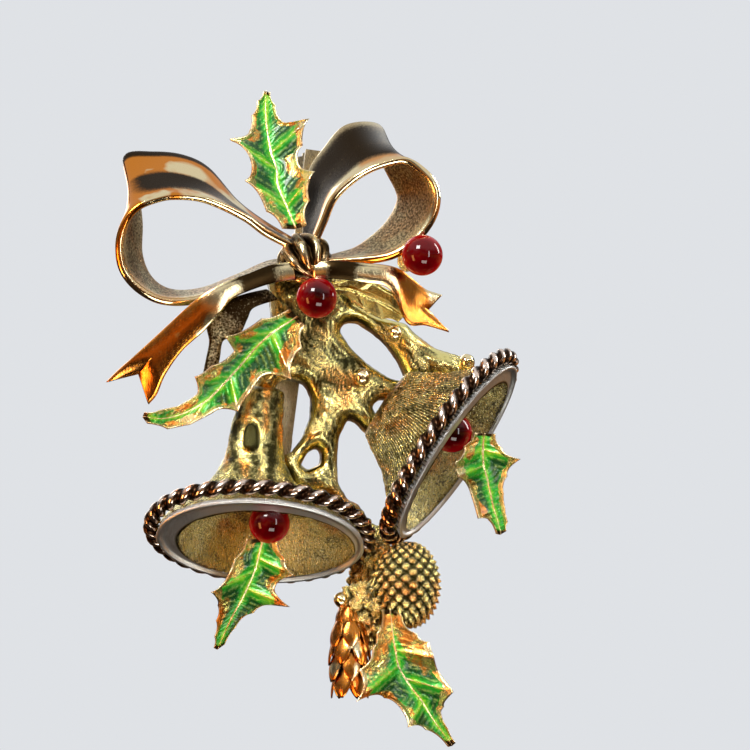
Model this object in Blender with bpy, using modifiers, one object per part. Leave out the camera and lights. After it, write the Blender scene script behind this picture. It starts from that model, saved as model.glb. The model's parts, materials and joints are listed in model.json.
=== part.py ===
"""Christmas brooch: a ribbon bow, two bells, holly, beads and pine cones on a twig frame, with a pin behind.

Written in millimetres and built in metres. The bow is up (+Z), the decorated side faces -Y, and the origin is
on the flat rear face of the pin bar.
"""

import math

import bmesh
import bpy
from mathutils import Euler, Matrix, Vector

MM = 0.001
GAP = 0.12  # free space round a piece that is let into its neighbour

# The relief leans: a piece sits lower and further left the further forward it stands.
LEAN = 0.105

SHEET = 0.8  # wall of ribbons and leaves
LEAF_DISH = 0.175  # how far a leaf's edge stands forward, for each millimetre out from the midrib
LEAST_REACH = 0.35  # share of a leaf's width that an inset always leaves
ENAMEL = 0.35
ENAMEL_INSET = 0.55  # bare gold round the enamel
ENAMEL_SPACE = 0.14  # between a leaf and its enamel
LOOP_DEPTH = -8.0  # middle of the bow loops
RIBBON_CURL = 0.5  # how far a ribbon end's middle stands in front of its edges
KNOT_ROOM = 0.3
CONE_ROOM = 0.2
BEAD_RADIUS = 2.05
PEG_RADIUS = 0.6
FRAME_FRONT = -4.2
FRAME_BACK = -1.25
FRAME_ROUNDING = 0.3

BELL_POINTS = 28  # in each ring
ROPE_RADIUS = 0.7
ROPE_STEPS = 48
ROPE_SIDES = 6
ROPE_OUT = 0.45  # how far the rope's middle lies outside the mouth's edge, and how far above it
ROPE_UP = 1.2
ROPE_ROOM = 2.1  # how far the rope stands out from the bell, with some space

# Pin finding. Lengths run along the bar, which leans to the right at its top.
PIN_LEAN = math.radians(7.2)
BAR_BOTTOM = -17.3
BAR_TOP = 14.4
BAR_HALF_WIDTH = 1.2
BAR_THICKNESS = 1.0
PAD_STEP = 0.15  # the bar's ends are this much thinner than its middle
PAD_LENGTH = 3.8
PIN_AXIS_Y = 3.2  # of the stem, the rivet and the sleeve
HINGE_Z = -15.6
STEM_RADIUS = 0.4
STEM_TOP = 14.2
EYE_RADIUS = 1.0
EYE_HALF_WIDTH = 0.55
RIVET_RADIUS = 0.42
RIVET_HOLE = 0.5
CHEEK = 0.45
BRACKET_HALF_LENGTH = 1.3
BRACKET_BACK = 1.1  # behind the rivet's axis
HEAD_GAP = 0.08  # between a rivet's head and its bracket
CATCH_Z = (11.6, 13.6)
CATCH_OUTER = 1.95
CATCH_INNER = 1.4
SLEEVE_OUTER = 1.25
SLEEVE_INNER = 0.7
SLEEVE_Z = (11.3, 14.6)
SLOT_HALF_WIDTH = 0.55
CATCH_SLOT_HALF_WIDTH = 0.9
TAB_REACH = 2.7
TAB_ROOT = 0.9
TAB_HALF_WIDTH = 0.35
TAB_TURN = math.radians(30)
FOOT_HALF_WIDTH = 0.8
FOOT_Y = -0.05  # front of what stands on the bar's pads
HEAD = 0.3
COLLAR = 0.4
POINT_LENGTH = 2.0

GOLD_BRIGHT = ((0.78, 0.60, 0.34), 1.0, 0.16)
GOLD_GRAINED = ((0.66, 0.54, 0.28), 1.0, 0.42)
GOLD_ROPE = ((0.62, 0.48, 0.33), 1.0, 0.22)
GREEN_ENAMEL = ((0.03, 0.36, 0.05), 0.0, 0.12)
RED_BEAD = ((0.38, 0.0, 0.01), 0.0, 0.05)
PIN_METAL = ((0.60, 0.50, 0.36), 1.0, 0.30)

# Leaves: one row per station from base to tip, each (left edge, midrib, right edge) as (x, z).
HOLLY_TOP = (
    ((-1.8, 5.6), (-0.4, 5.6), (0.7, 5.9)),
    ((-3.4, 7.3), (-1.2, 7.7), (1.0, 8.4)),
    ((-5.6, 10.2), (-2.1, 10.0), (1.4, 11.2)),
    ((-4.8, 12.0), (-2.2, 11.7), (-0.1, 12.6)),
    ((-7.1, 14.5), (-2.7, 13.4), (0.4, 14.2)),
    ((-5.0, 15.7), (-3.0, 15.2), (1.0, 16.8)),
    ((-4.7, 17.4), (-3.2, 17.2), (-1.4, 16.7)),
    ((-4.1, 19.0), (-3.2, 18.7), (-2.2, 18.6)),
    ((-3.4, 20.1), (-3.1, 20.2), (-2.7, 20.0)),
)
HOLLY_MID_LEFT = (
    ((-1.0, -2.3), (-0.1, -3.0), (0.7, -4.0)),
    ((-3.8, -3.3), (-2.5, -4.6), (0.3, -6.3)),
    ((-7.6, -5.3), (-4.1, -6.0), (-0.9, -9.6)),
    ((-6.5, -6.6), (-5.3, -7.4), (-3.8, -9.3)),
    ((-8.7, -8.0), (-6.7, -9.0), (-4.8, -10.8)),
    ((-10.5, -9.3), (-8.0, -10.4), (-6.1, -12.8)),
    ((-10.3, -11.0), (-9.3, -11.6), (-8.6, -12.8)),
    ((-12.1, -12.1), (-11.5, -12.8), (-10.8, -14.0)),
    ((-14.0, -12.5), (-13.6, -13.3), (-13.0, -14.4)),
    ((-15.4, -12.7), (-15.5, -13.1), (-15.0, -13.8)),
)
HOLLY_BELL_LEFT = (
    ((-5.3, -25.3), (-3.6, -25.3), (-2.1, -25.3)),
    ((-6.5, -27.3), (-4.0, -27.0), (-1.3, -27.3)),
    ((-7.1, -28.8), (-4.3, -28.3), (-0.5, -29.0)),
    ((-8.8, -30.6), (-5.0, -30.0), (-2.3, -30.0)),
    ((-8.0, -31.8), (-5.6, -31.3), (-0.9, -32.0)),
    ((-8.1, -33.3), (-6.5, -33.0), (-4.3, -32.5)),
    ((-8.2, -34.8), (-7.3, -34.8), (-6.1, -34.0)),
    ((-8.2, -35.9), (-7.8, -36.1), (-7.1, -35.6)),
)
HOLLY_BELL_RIGHT = (
    ((17.6, -14.5), (18.7, -14.5), (19.8, -14.6)),
    ((16.5, -15.8), (18.6, -16.0), (20.4, -16.0)),
    ((15.5, -17.6), (18.7, -17.6), (22.2, -17.2)),
    ((15.9, -19.0), (19.1, -19.0), (21.1, -18.8)),
    ((17.4, -20.5), (19.5, -20.5), (20.8, -20.5)),
    ((18.2, -23.0), (19.9, -22.0), (21.0, -22.0)),
    ((19.4, -23.1), (20.3, -23.2), (21.3, -23.3)),
    ((20.2, -24.4), (20.7, -24.5), (21.2, -24.2)),
)
HOLLY_BOTTOM = (
    ((8.3, -32.4), (9.1, -32.3), (10.2, -32.9)),
    ((7.7, -34.8), (9.4, -34.8), (11.8, -34.8)),
    ((7.3, -36.3), (9.7, -36.3), (13.0, -35.6)),
    ((6.9, -38.0), (10.0, -37.8), (13.4, -37.2)),
    ((7.1, -41.6), (10.7, -39.1), (14.0, -38.5)),
    ((9.2, -41.0), (11.5, -40.2), (15.4, -40.6)),
    ((10.3, -42.2), (12.5, -41.4), (14.7, -42.0)),
    ((10.9, -44.1), (13.4, -42.8), (14.5, -42.8)),
    ((12.9, -44.3), (14.4, -44.2), (15.2, -44.2)),
    ((15.3, -46.0), (15.7, -45.9), (16.0, -45.6)),
)
PLAIN_LEAF = (
    ((3.3, 0.7), (3.5, 0.1), (4.2, -0.6)),
    ((5.2, 1.4), (5.4, 0.0), (5.5, -1.6)),
    ((7.7, 0.9), (7.4, -0.8), (6.9, -2.4)),
    ((9.7, -0.3), (9.2, -1.6), (8.5, -3.1)),
    ((11.1, -1.9), (10.8, -2.7), (10.2, -3.3)),
)
# Each holly leaf: its rows, and its depth at its base and tip.
LEAVES = {
    "top": (HOLLY_TOP, -8.9, -4.9),
    "mid_left": (HOLLY_MID_LEFT, -7.0, -5.2),
    "bell_left": (HOLLY_BELL_LEFT, -8.6, -4.6),
    "bell_right": (HOLLY_BELL_RIGHT, -8.0, -5.6),
    "bottom": (HOLLY_BOTTOM, -7.4, -4.6),
}
BERRIES = (
    ("berry_frame", (6.4, -5.2, -9.0), 0.9),
    ("berry_leaf", (9.8, -5.2, -4.5), 0.8),
    ("berry_bell", (17.2, -5.3, -7.3), 0.8),
    ("berry_cone", (4.4, -6.6, -31.3), 0.7),
)

# Bow loops: one row per station, (front edge, back edge), each (x, y, z), from over the knot round to under it.
LOOP_LEFT = (
    ((0.2, -8.0, 3.7), (-0.4, -5.2, 5.2)),
    ((-3.0, -8.4, 5.2), (-3.4, -4.3, 7.2)),
    ((-5.3, -9.0, 6.7), (-6.1, -4.6, 9.2)),
    ((-9.3, -10.0, 8.2), (-8.8, -4.4, 12.4)),
    ((-12.3, -10.6, 8.4), (-11.3, -4.2, 13.7)),
    ((-14.3, -10.9, 8.0), (-14.3, -4.2, 14.0)),
    ((-16.3, -11.0, 7.0), (-17.1, -4.2, 13.6)),
    ((-17.6, -11.0, 5.2), (-16.0, -4.2, 10.2)),
    ((-18.0, -10.8, 3.2), (-15.5, -4.2, 7.0)),
    ((-17.5, -10.5, 1.0), (-15.5, -4.2, 3.7)),
    ((-15.8, -10.2, -0.8), (-14.5, -4.2, 1.2)),
    ((-13.3, -9.8, -1.8), (-12.5, -4.3, -0.1)),
    ((-9.8, -9.2, -1.5), (-9.5, -4.4, 0.0)),
    ((-5.8, -8.6, 0.2), (-5.8, -4.6, 1.4)),
    ((-2.6, -8.2, 1.7), (-2.6, -4.9, 2.8)),
    ((0.0, -8.0, 2.4), (0.0, -5.4, 3.0)),
)
LOOP_RIGHT = (
    ((1.7, -8.2, 4.2), (0.9, -5.2, 5.6)),
    ((2.7, -8.6, 6.4), (1.2, -3.4, 8.7)),
    ((3.7, -9.2, 8.7), (1.8, -2.4, 12.7)),
    ((5.4, -9.8, 10.4), (3.2, -2.8, 14.9)),
    ((7.2, -10.2, 11.5), (5.2, -3.8, 17.1)),
    ((9.2, -10.4, 12.2), (8.2, -4.2, 17.3)),
    ((10.7, -10.6, 12.4), (9.1, -4.2, 15.7)),
    ((12.2, -10.7, 11.7), (9.0, -4.2, 13.4)),
    ((13.5, -10.7, 10.4), (10.3, -4.2, 10.7)),
    ((13.9, -10.6, 8.7), (10.5, -4.2, 9.4)),
    ((13.4, -10.3, 6.7), (9.7, -4.2, 7.7)),
    ((11.9, -9.9, 4.7), (8.4, -4.3, 6.2)),
    ((9.7, -9.4, 3.2), (6.2, -4.5, 4.5)),
    ((6.7, -8.9, 2.7), (4.2, -4.8, 3.7)),
    ((1.6, -8.2, 2.4), (1.4, -5.2, 2.8)),
)
# Ribbon ends: (upper edge, middle, lower edge) per station, each (x, z), with a depth for the station.
TAIL_LEFT = (
    (-8.6, (-0.2, 2.9), (-0.1, 2.0), (0.0, 1.1)),
    (-9.6, (-2.5, 2.4), (-2.3, 1.6), (-2.1, 0.7)),
    (-10.4, (-4.8, 1.4), (-4.6, 0.7), (-4.3, -0.1)),
    (-11.0, (-6.9, 0.6), (-6.8, -0.3), (-6.5, -1.2)),
    (-11.2, (-9.2, -0.7), (-8.6, -1.7), (-7.8, -2.8)),
    (-10.8, (-10.9, -2.1), (-10.2, -3.3), (-9.2, -4.4)),
    (-10.0, (-13.0, -4.0), (-12.2, -5.1), (-11.3, -6.3)),
    (-9.2, (-15.4, -6.2), (-14.3, -7.0), (-12.9, -8.6)),
    (-8.4, (-17.5, -8.0), (-15.1, -7.9), (-13.7, -10.5)),
    (-8.0, (-18.8, -9.3), (-15.5, -8.1), (-14.5, -11.5)),
)
TAIL_RIGHT = (
    (-8.8, (1.5, 2.6), (1.5, 1.8), (1.5, 0.9)),
    (-9.2, (3.9, 2.6), (3.9, 1.8), (3.9, 0.9)),
    (-9.0, (6.7, 2.5), (6.6, 1.5), (6.5, 0.6)),
    (-8.6, (9.6, 2.2), (9.4, 1.0), (9.2, 0.0)),
    (-7.9, (11.4, 1.3), (11.2, -0.9), (11.0, -3.3)),
    (-7.4, (12.9, 0.2), (12.3, -1.6), (13.0, -3.5)),
    (-7.0, (14.7, -0.3), (13.0, -2.0), (15.4, -4.1)),
)
FOLD_REAR = (
    (-4.9, (-3.3, -0.2), (-2.1, -1.0)),
    (-5.7, (-5.8, -0.9), (-4.6, -2.0)),
    (-5.9, (-7.8, -1.5), (-5.2, -3.2)),
    (-5.7, (-9.4, -2.8), (-5.9, -4.6)),
    (-5.4, (-9.2, -4.0), (-7.2, -5.0)),
    (-5.0, (-8.9, -5.4), (-7.8, -5.6)),
    (-4.8, (-9.1, -7.0), (-8.1, -7.4)),
    (-4.6, (-9.4, -8.6), (-8.6, -9.0)),
)

# Twig frame in the plane of the brooch.
FRAME_OUTLINE = (
    (-3.1, 0.7), (-2.7, -3.8), (-3.1, -8.0), (-4.4, -8.8), (-4.6, -14.8), (-3.8, -18.3), (-0.3, -20.8),
    (3.7, -21.3), (5.9, -23.3), (6.9, -26.8), (7.7, -29.8), (10.7, -29.8), (9.4, -26.3), (9.0, -24.6),
    (10.6, -18.8), (10.7, -14.8), (12.2, -10.8), (15.8, -10.4), (18.2, -9.2), (18.3, -8.0), (16.6, -6.8),
    (13.9, -6.0), (11.9, -4.6), (10.9, -3.5), (7.9, -2.8), (5.7, -1.4), (4.7, 1.2), (2.7, 2.2), (-0.3, 2.2),
)  # fmt: skip
FRAME_HOLES = (
    ((4.1, -4.3), (4.7, -3.4), (5.9, -3.3), (7.5, -4.3), (8.9, -5.5), (10.2, -7.3), (11.2, -9.6), (9.2, -9.1),
     (6.9, -7.6), (5.2, -6.0)),
    ((7.4, -12.0), (8.2, -11.2), (9.7, -11.2), (11.4, -12.0), (10.7, -12.6), (9.9, -13.0), (9.1, -13.4),
     (7.9, -12.9)),
    ((5.0, -13.3), (5.7, -13.4), (7.7, -15.4), (9.0, -17.5), (9.5, -19.4), (9.1, -21.7), (8.3, -24.2),
     (7.3, -23.8), (6.0, -21.9), (5.0, -21.5), (4.0, -19.9), (3.9, -17.4), (4.1, -15.1)),
    ((-0.1, -9.4), (0.7, -9.8), (1.3, -11.1), (1.2, -13.1), (0.4, -15.2), (-0.8, -16.8), (-1.9, -17.0),
     (-2.4, -13.5), (-2.3, -9.8), (-1.2, -9.3)),
    ((0.2, -18.0), (0.9, -16.7), (1.9, -16.1), (2.3, -16.7), (2.2, -17.9), (0.9, -18.5)),
)  # fmt: skip

# Bells, from mouth to crown: (along, sideways, back, half width, half depth, forward tilt in degrees).
BELL_LEFT_SECTIONS = (
    (0.0, 0.0, 0.0, 10.4, 6.0, 39),
    (1.3, -0.1, 1.0, 9.7, 5.4, 38),
    (2.7, -0.4, 1.7, 8.0, 4.5, 34),
    (4.8, -0.8, 2.1, 5.3, 3.5, 26),
    (8.0, -1.0, 2.7, 3.2, 2.6, 12),
    (12.0, -0.9, 3.0, 2.6, 2.1, 4),
    (15.2, -0.6, 3.1, 2.2, 1.9, 0),
)
BELL_RIGHT_SECTIONS = (
    (0.0, 0.0, 0.0, 10.4, 5.0, 27),
    (1.4, 0.0, 0.8, 9.8, 4.5, 25),
    (2.9, 0.1, 1.3, 8.2, 4.0, 21),
    (5.0, 0.2, 1.7, 6.2, 3.3, 14),
    (8.3, 0.2, 2.3, 4.1, 2.2, 3),
)
# The bowl inside each bell, from its rim to its floor, in the same terms.
BOWL_LEFT_SECTIONS = (
    (-0.4, 0.0, 0.5, 8.9, 5.0, 39),
    (0.9, -0.1, 1.4, 7.9, 4.3, 38),
    (2.1, -0.1, 1.8, 5.8, 3.0, 36),
    (2.8, -0.2, 2.3, 3.0, 1.6, 34),
    (3.0, -0.2, 2.4, 0.5, 0.3, 34),
)
BOWL_RIGHT_SECTIONS = (
    (-0.3, 0.0, 0.5, 8.9, 4.1, 27),
    (1.1, 0.0, 1.0, 7.9, 3.4, 26),
    (2.3, 0.0, 1.4, 5.6, 2.5, 23),
    (3.0, 0.0, 1.6, 3.0, 1.5, 20),
    (3.2, 0.0, 1.7, 0.5, 0.3, 20),
)
# Each bell: its outside, its bowl, the middle of its mouth and its turn in the plane of the brooch.
BELLS = {
    "left": (BELL_LEFT_SECTIONS, BOWL_LEFT_SECTIONS, (-3.7, -7.4, -25.3), math.radians(4)),
    "right": (BELL_RIGHT_SECTIONS, BOWL_RIGHT_SECTIONS, (16.2, -7.1, -16.3), math.radians(-55.7)),
}


def clear_scene():
    for obj in list(bpy.data.objects):
        bpy.data.objects.remove(obj, do_unlink=True)


def new_collection(name):
    made = bpy.data.collections.new(name)
    bpy.context.scene.collection.children.link(made)
    return made


clear_scene()
BROOCH = new_collection("christmas_bell_brooch")
CUTTERS = new_collection("cutters")


def finish(obj, look, smooth=True):
    """Names the object's own material after it, and links it into the brooch."""
    colour, metallic, roughness = look
    material = bpy.data.materials.new(obj.name + "_surface")
    material.use_nodes = True
    shader = material.node_tree.nodes["Principled BSDF"]
    shader.inputs["Base Color"].default_value = (*colour, 1.0)
    shader.inputs["Metallic"].default_value = metallic
    shader.inputs["Roughness"].default_value = roughness
    obj.data.materials.clear()
    obj.data.materials.append(material)
    if smooth:
        for face in obj.data.polygons:
            face.use_smooth = True
    BROOCH.objects.link(obj)
    return obj


def object_from(bm, name):
    bmesh.ops.recalc_face_normals(bm, faces=bm.faces)
    mesh = bpy.data.meshes.new(name)
    bm.to_mesh(mesh)
    bm.free()
    return bpy.data.objects.new(name, mesh)


def lean(obj, depth):
    """Shifts a piece of the relief for the depth that it stands at."""
    obj.location += Vector((LEAN * depth, 0.0, LEAN * depth)) * MM


def as_cutter(obj):
    obj.hide_render = True
    obj.display_type = "WIRE"
    CUTTERS.objects.link(obj)
    return obj


def cut(obj, cutters, operation="DIFFERENCE"):
    for cutter in cutters:
        modifier = obj.modifiers.new(cutter.name, "BOOLEAN")
        modifier.operation = operation
        modifier.solver = "EXACT"
        modifier.object = cutter


def loft(rows, closed=False, caps=False):
    """A surface through rows of points, in millimetres. With closed, each row is a ring."""
    bm = bmesh.new()
    made = [[bm.verts.new(Vector(point) * MM) for point in row] for row in rows]
    count = len(made[0])
    for low, high in zip(made, made[1:]):
        for i in range(count if closed else count - 1):
            j = (i + 1) % count
            bm.faces.new((low[i], low[j], high[j], high[i]))
    if caps:
        bm.faces.new(made[0])
        bm.faces.new(made[-1])
    return bm


def thicken(obj, thickness):
    modifier = obj.modifiers.new("wall", "SOLIDIFY")
    modifier.thickness = thickness * MM
    modifier.offset = 0.0
    modifier.use_even_offset = False


def ellipsoid(bm, centre, half_sizes, across=16, up=10):
    placed = Matrix.Translation(Vector(centre) * MM) @ Matrix.Diagonal((*(Vector(half_sizes) * MM), 1.0))
    return bmesh.ops.create_uvsphere(bm, u_segments=across, v_segments=up, radius=1.0, matrix=placed)["verts"]


def rod(bm, start, end, radius, segments=12, end_radius=None):
    start, end = Vector(start), Vector(end)
    along = end - start
    turn = along.to_track_quat("Z", "Y").to_matrix().to_4x4()
    bmesh.ops.create_cone(
        bm,
        cap_ends=True,
        segments=segments,
        radius1=radius * MM,
        radius2=(radius if end_radius is None else end_radius) * MM,
        depth=along.length * MM,
        matrix=Matrix.Translation((start + end) / 2 * MM) @ turn,
    )


def box(bm, low, high):
    low, high = Vector(low), Vector(high)
    sizes = (high - low) * MM
    placed = Matrix.Translation((low + high) / 2 * MM) @ Matrix.Diagonal((*sizes, 1.0))
    bmesh.ops.create_cube(bm, size=1.0, matrix=placed)


# Twig frame ---------------------------------------------------------------------------------------------------


def plate(name, outline, holes, front, back, rounding):
    """A flat cast plate with rounded edges."""
    curve = bpy.data.curves.new(name, "CURVE")
    curve.dimensions = "2D"
    curve.fill_mode = "BOTH"
    for points in (outline, *holes):
        spline = curve.splines.new("POLY")
        spline.points.add(len(points) - 1)
        spline.use_cyclic_u = True
        for slot, (x, z) in zip(spline.points, points):
            slot.co = (x * MM, z * MM, 0.0, 1.0)
    curve.extrude = ((back - front) / 2 - rounding) * MM
    curve.bevel_depth = rounding * MM
    curve.bevel_resolution = 0
    curve.offset = -rounding * MM
    drawn = bpy.data.objects.new(name + "_curve", curve)
    bpy.context.scene.collection.objects.link(drawn)
    bpy.context.view_layer.update()
    evaluated = drawn.evaluated_get(bpy.context.evaluated_depsgraph_get())
    mesh = bpy.data.meshes.new_from_object(evaluated)
    bm = bmesh.new()
    bm.from_mesh(mesh)
    bpy.data.objects.remove(drawn, do_unlink=True)
    bmesh.ops.remove_doubles(bm, verts=bm.verts, dist=0.002 * MM)
    bmesh.ops.rotate(bm, verts=bm.verts, matrix=Matrix.Rotation(math.radians(90), 3, "X"))
    bmesh.ops.translate(bm, verts=bm.verts, vec=(0.0, (front + back) / 2 * MM, 0.0))
    return object_from(bm, name)


# Bells --------------------------------------------------------------------------------------------------------


def bell_rings(sections, grow):
    rings = []
    for along, sideways, back, half_width, half_depth, tilt in sections:
        rise = math.tan(math.radians(tilt))
        depth = (half_depth + grow) * math.cos(math.radians(tilt))
        ring = []
        for i in range(BELL_POINTS):
            angle = 2 * math.pi * i / BELL_POINTS
            y = depth * math.sin(angle)
            ring.append((sideways + (half_width + grow) * math.cos(angle), back + y, along - y * rise))
        rings.append(ring)
    return rings


def place_bell(obj, mouth, turn):
    obj.location = Vector(mouth) * MM
    obj.rotation_euler = Euler((0.0, turn, 0.0))
    lean(obj, mouth[1])


def bell_body(name, sections, bowl, mouth, turn):
    rings = bell_rings((*reversed(sections), *bowl), 0.0)
    body = object_from(loft(rings, closed=True, caps=True), name)
    place_bell(body, mouth, turn)
    return finish(body, GOLD_GRAINED)


def bell_pocket(name, sections, mouth, turn, grow):
    """The bell's outside, grown and carried on past its mouth, to cut room for it in its neighbours."""
    below_mouth = (-grow, *sections[0][1:])
    pocket = object_from(loft(bell_rings((below_mouth, *sections), grow), closed=True, caps=True), name)
    place_bell(pocket, mouth, turn)
    return as_cutter(pocket)


def rope_rim(name, sections, mouth, turn):
    """A twisted rope laid round the outside of the bell, a little above its mouth."""
    _, _, _, half_width, half_depth, tilt = sections[0]
    across = Vector((0.0, math.cos(math.radians(tilt)), -math.sin(math.radians(tilt))))
    inward = Vector((0.0, math.sin(math.radians(tilt)), math.cos(math.radians(tilt))))
    rings = []
    for i in range(ROPE_STEPS):
        angle = 2 * math.pi * i / ROPE_STEPS
        edge = Vector((half_width * math.cos(angle), 0.0, 0.0)) + across * half_depth * math.sin(angle)
        outward = Vector((half_depth * math.cos(angle), 0.0, 0.0)) + across * half_width * math.sin(angle)
        outward.normalize()
        centre = edge + outward * ROPE_OUT + inward * ROPE_UP
        ring = []
        for j in range(ROPE_SIDES):
            turned = 2 * math.pi * j / ROPE_SIDES
            ring.append(centre + ROPE_RADIUS * (outward * math.cos(turned) + inward * math.sin(turned)))
        rings.append(ring)
    rings.append(rings[0])
    bm = loft(rings, closed=True)
    bmesh.ops.remove_doubles(bm, verts=bm.verts, dist=0.002 * MM)
    rope = object_from(bm, name)
    place_bell(rope, mouth, turn)
    return finish(rope, GOLD_ROPE)


# Leaves and ribbons -------------------------------------------------------------------------------------------


def leaf_rows(rows, base_depth, tip_depth, inset=0.0, forward=0.0):
    """Rows of a leaf in space. An inset draws its edges in towards the midrib and leaves its last row out."""
    made = []
    kept = rows if not inset else rows[:-1]
    for i, (left, middle, right) in enumerate(kept):
        part = i / (len(rows) - 1)
        depth = base_depth + (tip_depth - base_depth) * part - forward
        centre = Vector((middle[0], depth, middle[1]))
        row = []
        for x, z in (left, middle, right):
            edge = Vector((x, depth, z))
            reach = (edge - centre).length
            if reach:
                kept_reach = max(reach - inset, LEAST_REACH * reach)
                edge = centre + (edge - centre) * kept_reach / reach
                edge.y -= LEAF_DISH * kept_reach
            row.append(edge)
        made.append(row)
    return made


def leaf(name, rows, base_depth, tip_depth, look=GOLD_BRIGHT):
    made = object_from(loft(leaf_rows(rows, base_depth, tip_depth)), name)
    thicken(made, SHEET)
    lean(made, (base_depth + tip_depth) / 2)
    return finish(made, look)


def enamel(name, rows, base_depth, tip_depth):
    forward = SHEET / 2 + ENAMEL / 2 + ENAMEL_SPACE
    made = object_from(loft(leaf_rows(rows, base_depth, tip_depth, ENAMEL_INSET, forward)), name)
    thicken(made, ENAMEL)
    lean(made, (base_depth + tip_depth) / 2)
    return finish(made, GREEN_ENAMEL)


def bow_loop(name, rows):
    made = object_from(loft([(front, (Vector(front) + Vector(back)) / 2, back) for front, back in rows]), name)
    thicken(made, SHEET)
    lean(made, LOOP_DEPTH)
    return finish(made, GOLD_BRIGHT)


def ribbon(name, rows, curl=RIBBON_CURL):
    spaced = []
    for depth, *points in rows:
        middle = (len(points) - 1) / 2
        spaced.append([(x, depth - curl * (1 - abs(i - middle)), z) for i, (x, z) in enumerate(points)])
    made = object_from(loft(spaced), name)
    thicken(made, SHEET)
    lean(made, rows[len(rows) // 2][0])
    return finish(made, GOLD_BRIGHT)


# Round pieces -------------------------------------------------------------------------------------------------


def ball(name, centre, radius, look, across=16, up=10):
    bm = bmesh.new()
    ellipsoid(bm, (0.0, 0.0, 0.0), (radius, radius, radius), across, up)
    made = object_from(bm, name)
    made.location = Vector(centre) * MM
    lean(made, centre[1])
    return finish(made, look)


def bead_on_peg(name, centre, direction, peg_length):
    """A glass bead, and the short post that it is cemented to. Returns the room that the bead needs."""
    bead = ball("bead_" + name, centre, BEAD_RADIUS, RED_BEAD)
    direction = Vector(direction).normalized()
    start = Vector(centre) + direction * (BEAD_RADIUS + GAP)
    bm = bmesh.new()
    rod(bm, start, start + direction * peg_length, PEG_RADIUS, 10)
    post = object_from(bm, "peg_" + name)
    lean(post, centre[1])
    finish(post, GOLD_GRAINED)
    return pocket_of(bead, GAP)


def cone(name, centre, half_sizes, across, up, relief, tilt=0.0):
    """A pine cone: an ellipsoid whose points stand in and out by turns, like its scales."""
    bm = bmesh.new()
    rings = []
    for j in range(1, up):
        fall = math.pi * j / up
        ring = []
        for i in range(across):
            angle = 2 * math.pi * (i + 0.5 * (j % 2)) / across
            bump = 1 + relief * (1 if j % 2 else -1)
            radius = math.sin(fall) * bump
            ring.append(
                bm.verts.new(
                    (
                        half_sizes[0] * radius * math.cos(angle) * MM,
                        half_sizes[1] * radius * math.sin(angle) * MM,
                        half_sizes[2] * math.cos(fall) * MM,
                    )
                )
            )
        rings.append(ring)
    top = bm.verts.new((0.0, 0.0, half_sizes[2] * MM))
    bottom = bm.verts.new((0.0, 0.0, -half_sizes[2] * MM))
    for j, (high, low) in enumerate(zip(rings, rings[1:])):
        for i in range(across):
            k = (i + 1) % across
            if j % 2:
                bm.faces.new((high[i], high[k], low[k]))
                bm.faces.new((high[i], low[k], low[i]))
            else:
                bm.faces.new((high[i], high[k], low[i]))
                bm.faces.new((high[k], low[k], low[i]))
    for i in range(across):
        k = (i + 1) % across
        bm.faces.new((top, rings[0][k], rings[0][i]))
        bm.faces.new((bottom, rings[-1][i], rings[-1][k]))
    made = object_from(bm, name)
    made.location = Vector(centre) * MM
    made.rotation_euler = Euler((0.0, tilt, 0.0))
    lean(made, centre[1])
    return made


def pocket_of(obj, grow):
    """A grown copy of a round piece, to cut room for it."""
    pocket = bpy.data.objects.new(obj.name + "_pocket", obj.data)
    pocket.location = obj.location
    pocket.rotation_euler = obj.rotation_euler
    bpy.context.view_layer.update()
    pocket.scale = [1 + 2 * grow * MM / side for side in obj.dimensions]
    return as_cutter(pocket)


# Pin finding --------------------------------------------------------------------------------------------------


def pin_piece(bm, name, origin=(0.0, 0.0, 0.0), smooth=True):
    """A piece of the pin, drawn round its own origin in the bar's frame."""
    made = object_from(bm, name)
    made.parent = PIN_FRAME
    made.location = Vector(origin) * MM
    return finish(made, PIN_METAL, smooth)


def pin_cutter(bm, name, origin=(0.0, 0.0, 0.0)):
    made = object_from(bm, name)
    made.parent = PIN_FRAME
    made.location = Vector(origin) * MM
    return as_cutter(made)


def box_cutter(name, low, high, origin=(0.0, 0.0, 0.0)):
    bm = bmesh.new()
    box(bm, low, high)
    return pin_cutter(bm, name, origin)


def rod_cutter(name, start, end, radius, origin=(0.0, 0.0, 0.0)):
    bm = bmesh.new()
    rod(bm, start, end, radius, 20)
    return pin_cutter(bm, name, origin)


def pin_bar():
    low, high = BAR_BOTTOM, BAR_TOP
    profile = (
        (-BAR_THICKNESS, low),
        (-BAR_THICKNESS, high),
        (-PAD_STEP, high),
        (-PAD_STEP, high - PAD_LENGTH),
        (0.0, high - PAD_LENGTH),
        (0.0, low + PAD_LENGTH),
        (-PAD_STEP, low + PAD_LENGTH),
        (-PAD_STEP, low),
    )
    sides = [[(x, y, z) for y, z in profile] for x in (-BAR_HALF_WIDTH, BAR_HALF_WIDTH)]
    return pin_piece(loft(sides, closed=True, caps=True), "pin_bar", smooth=False)


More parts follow.
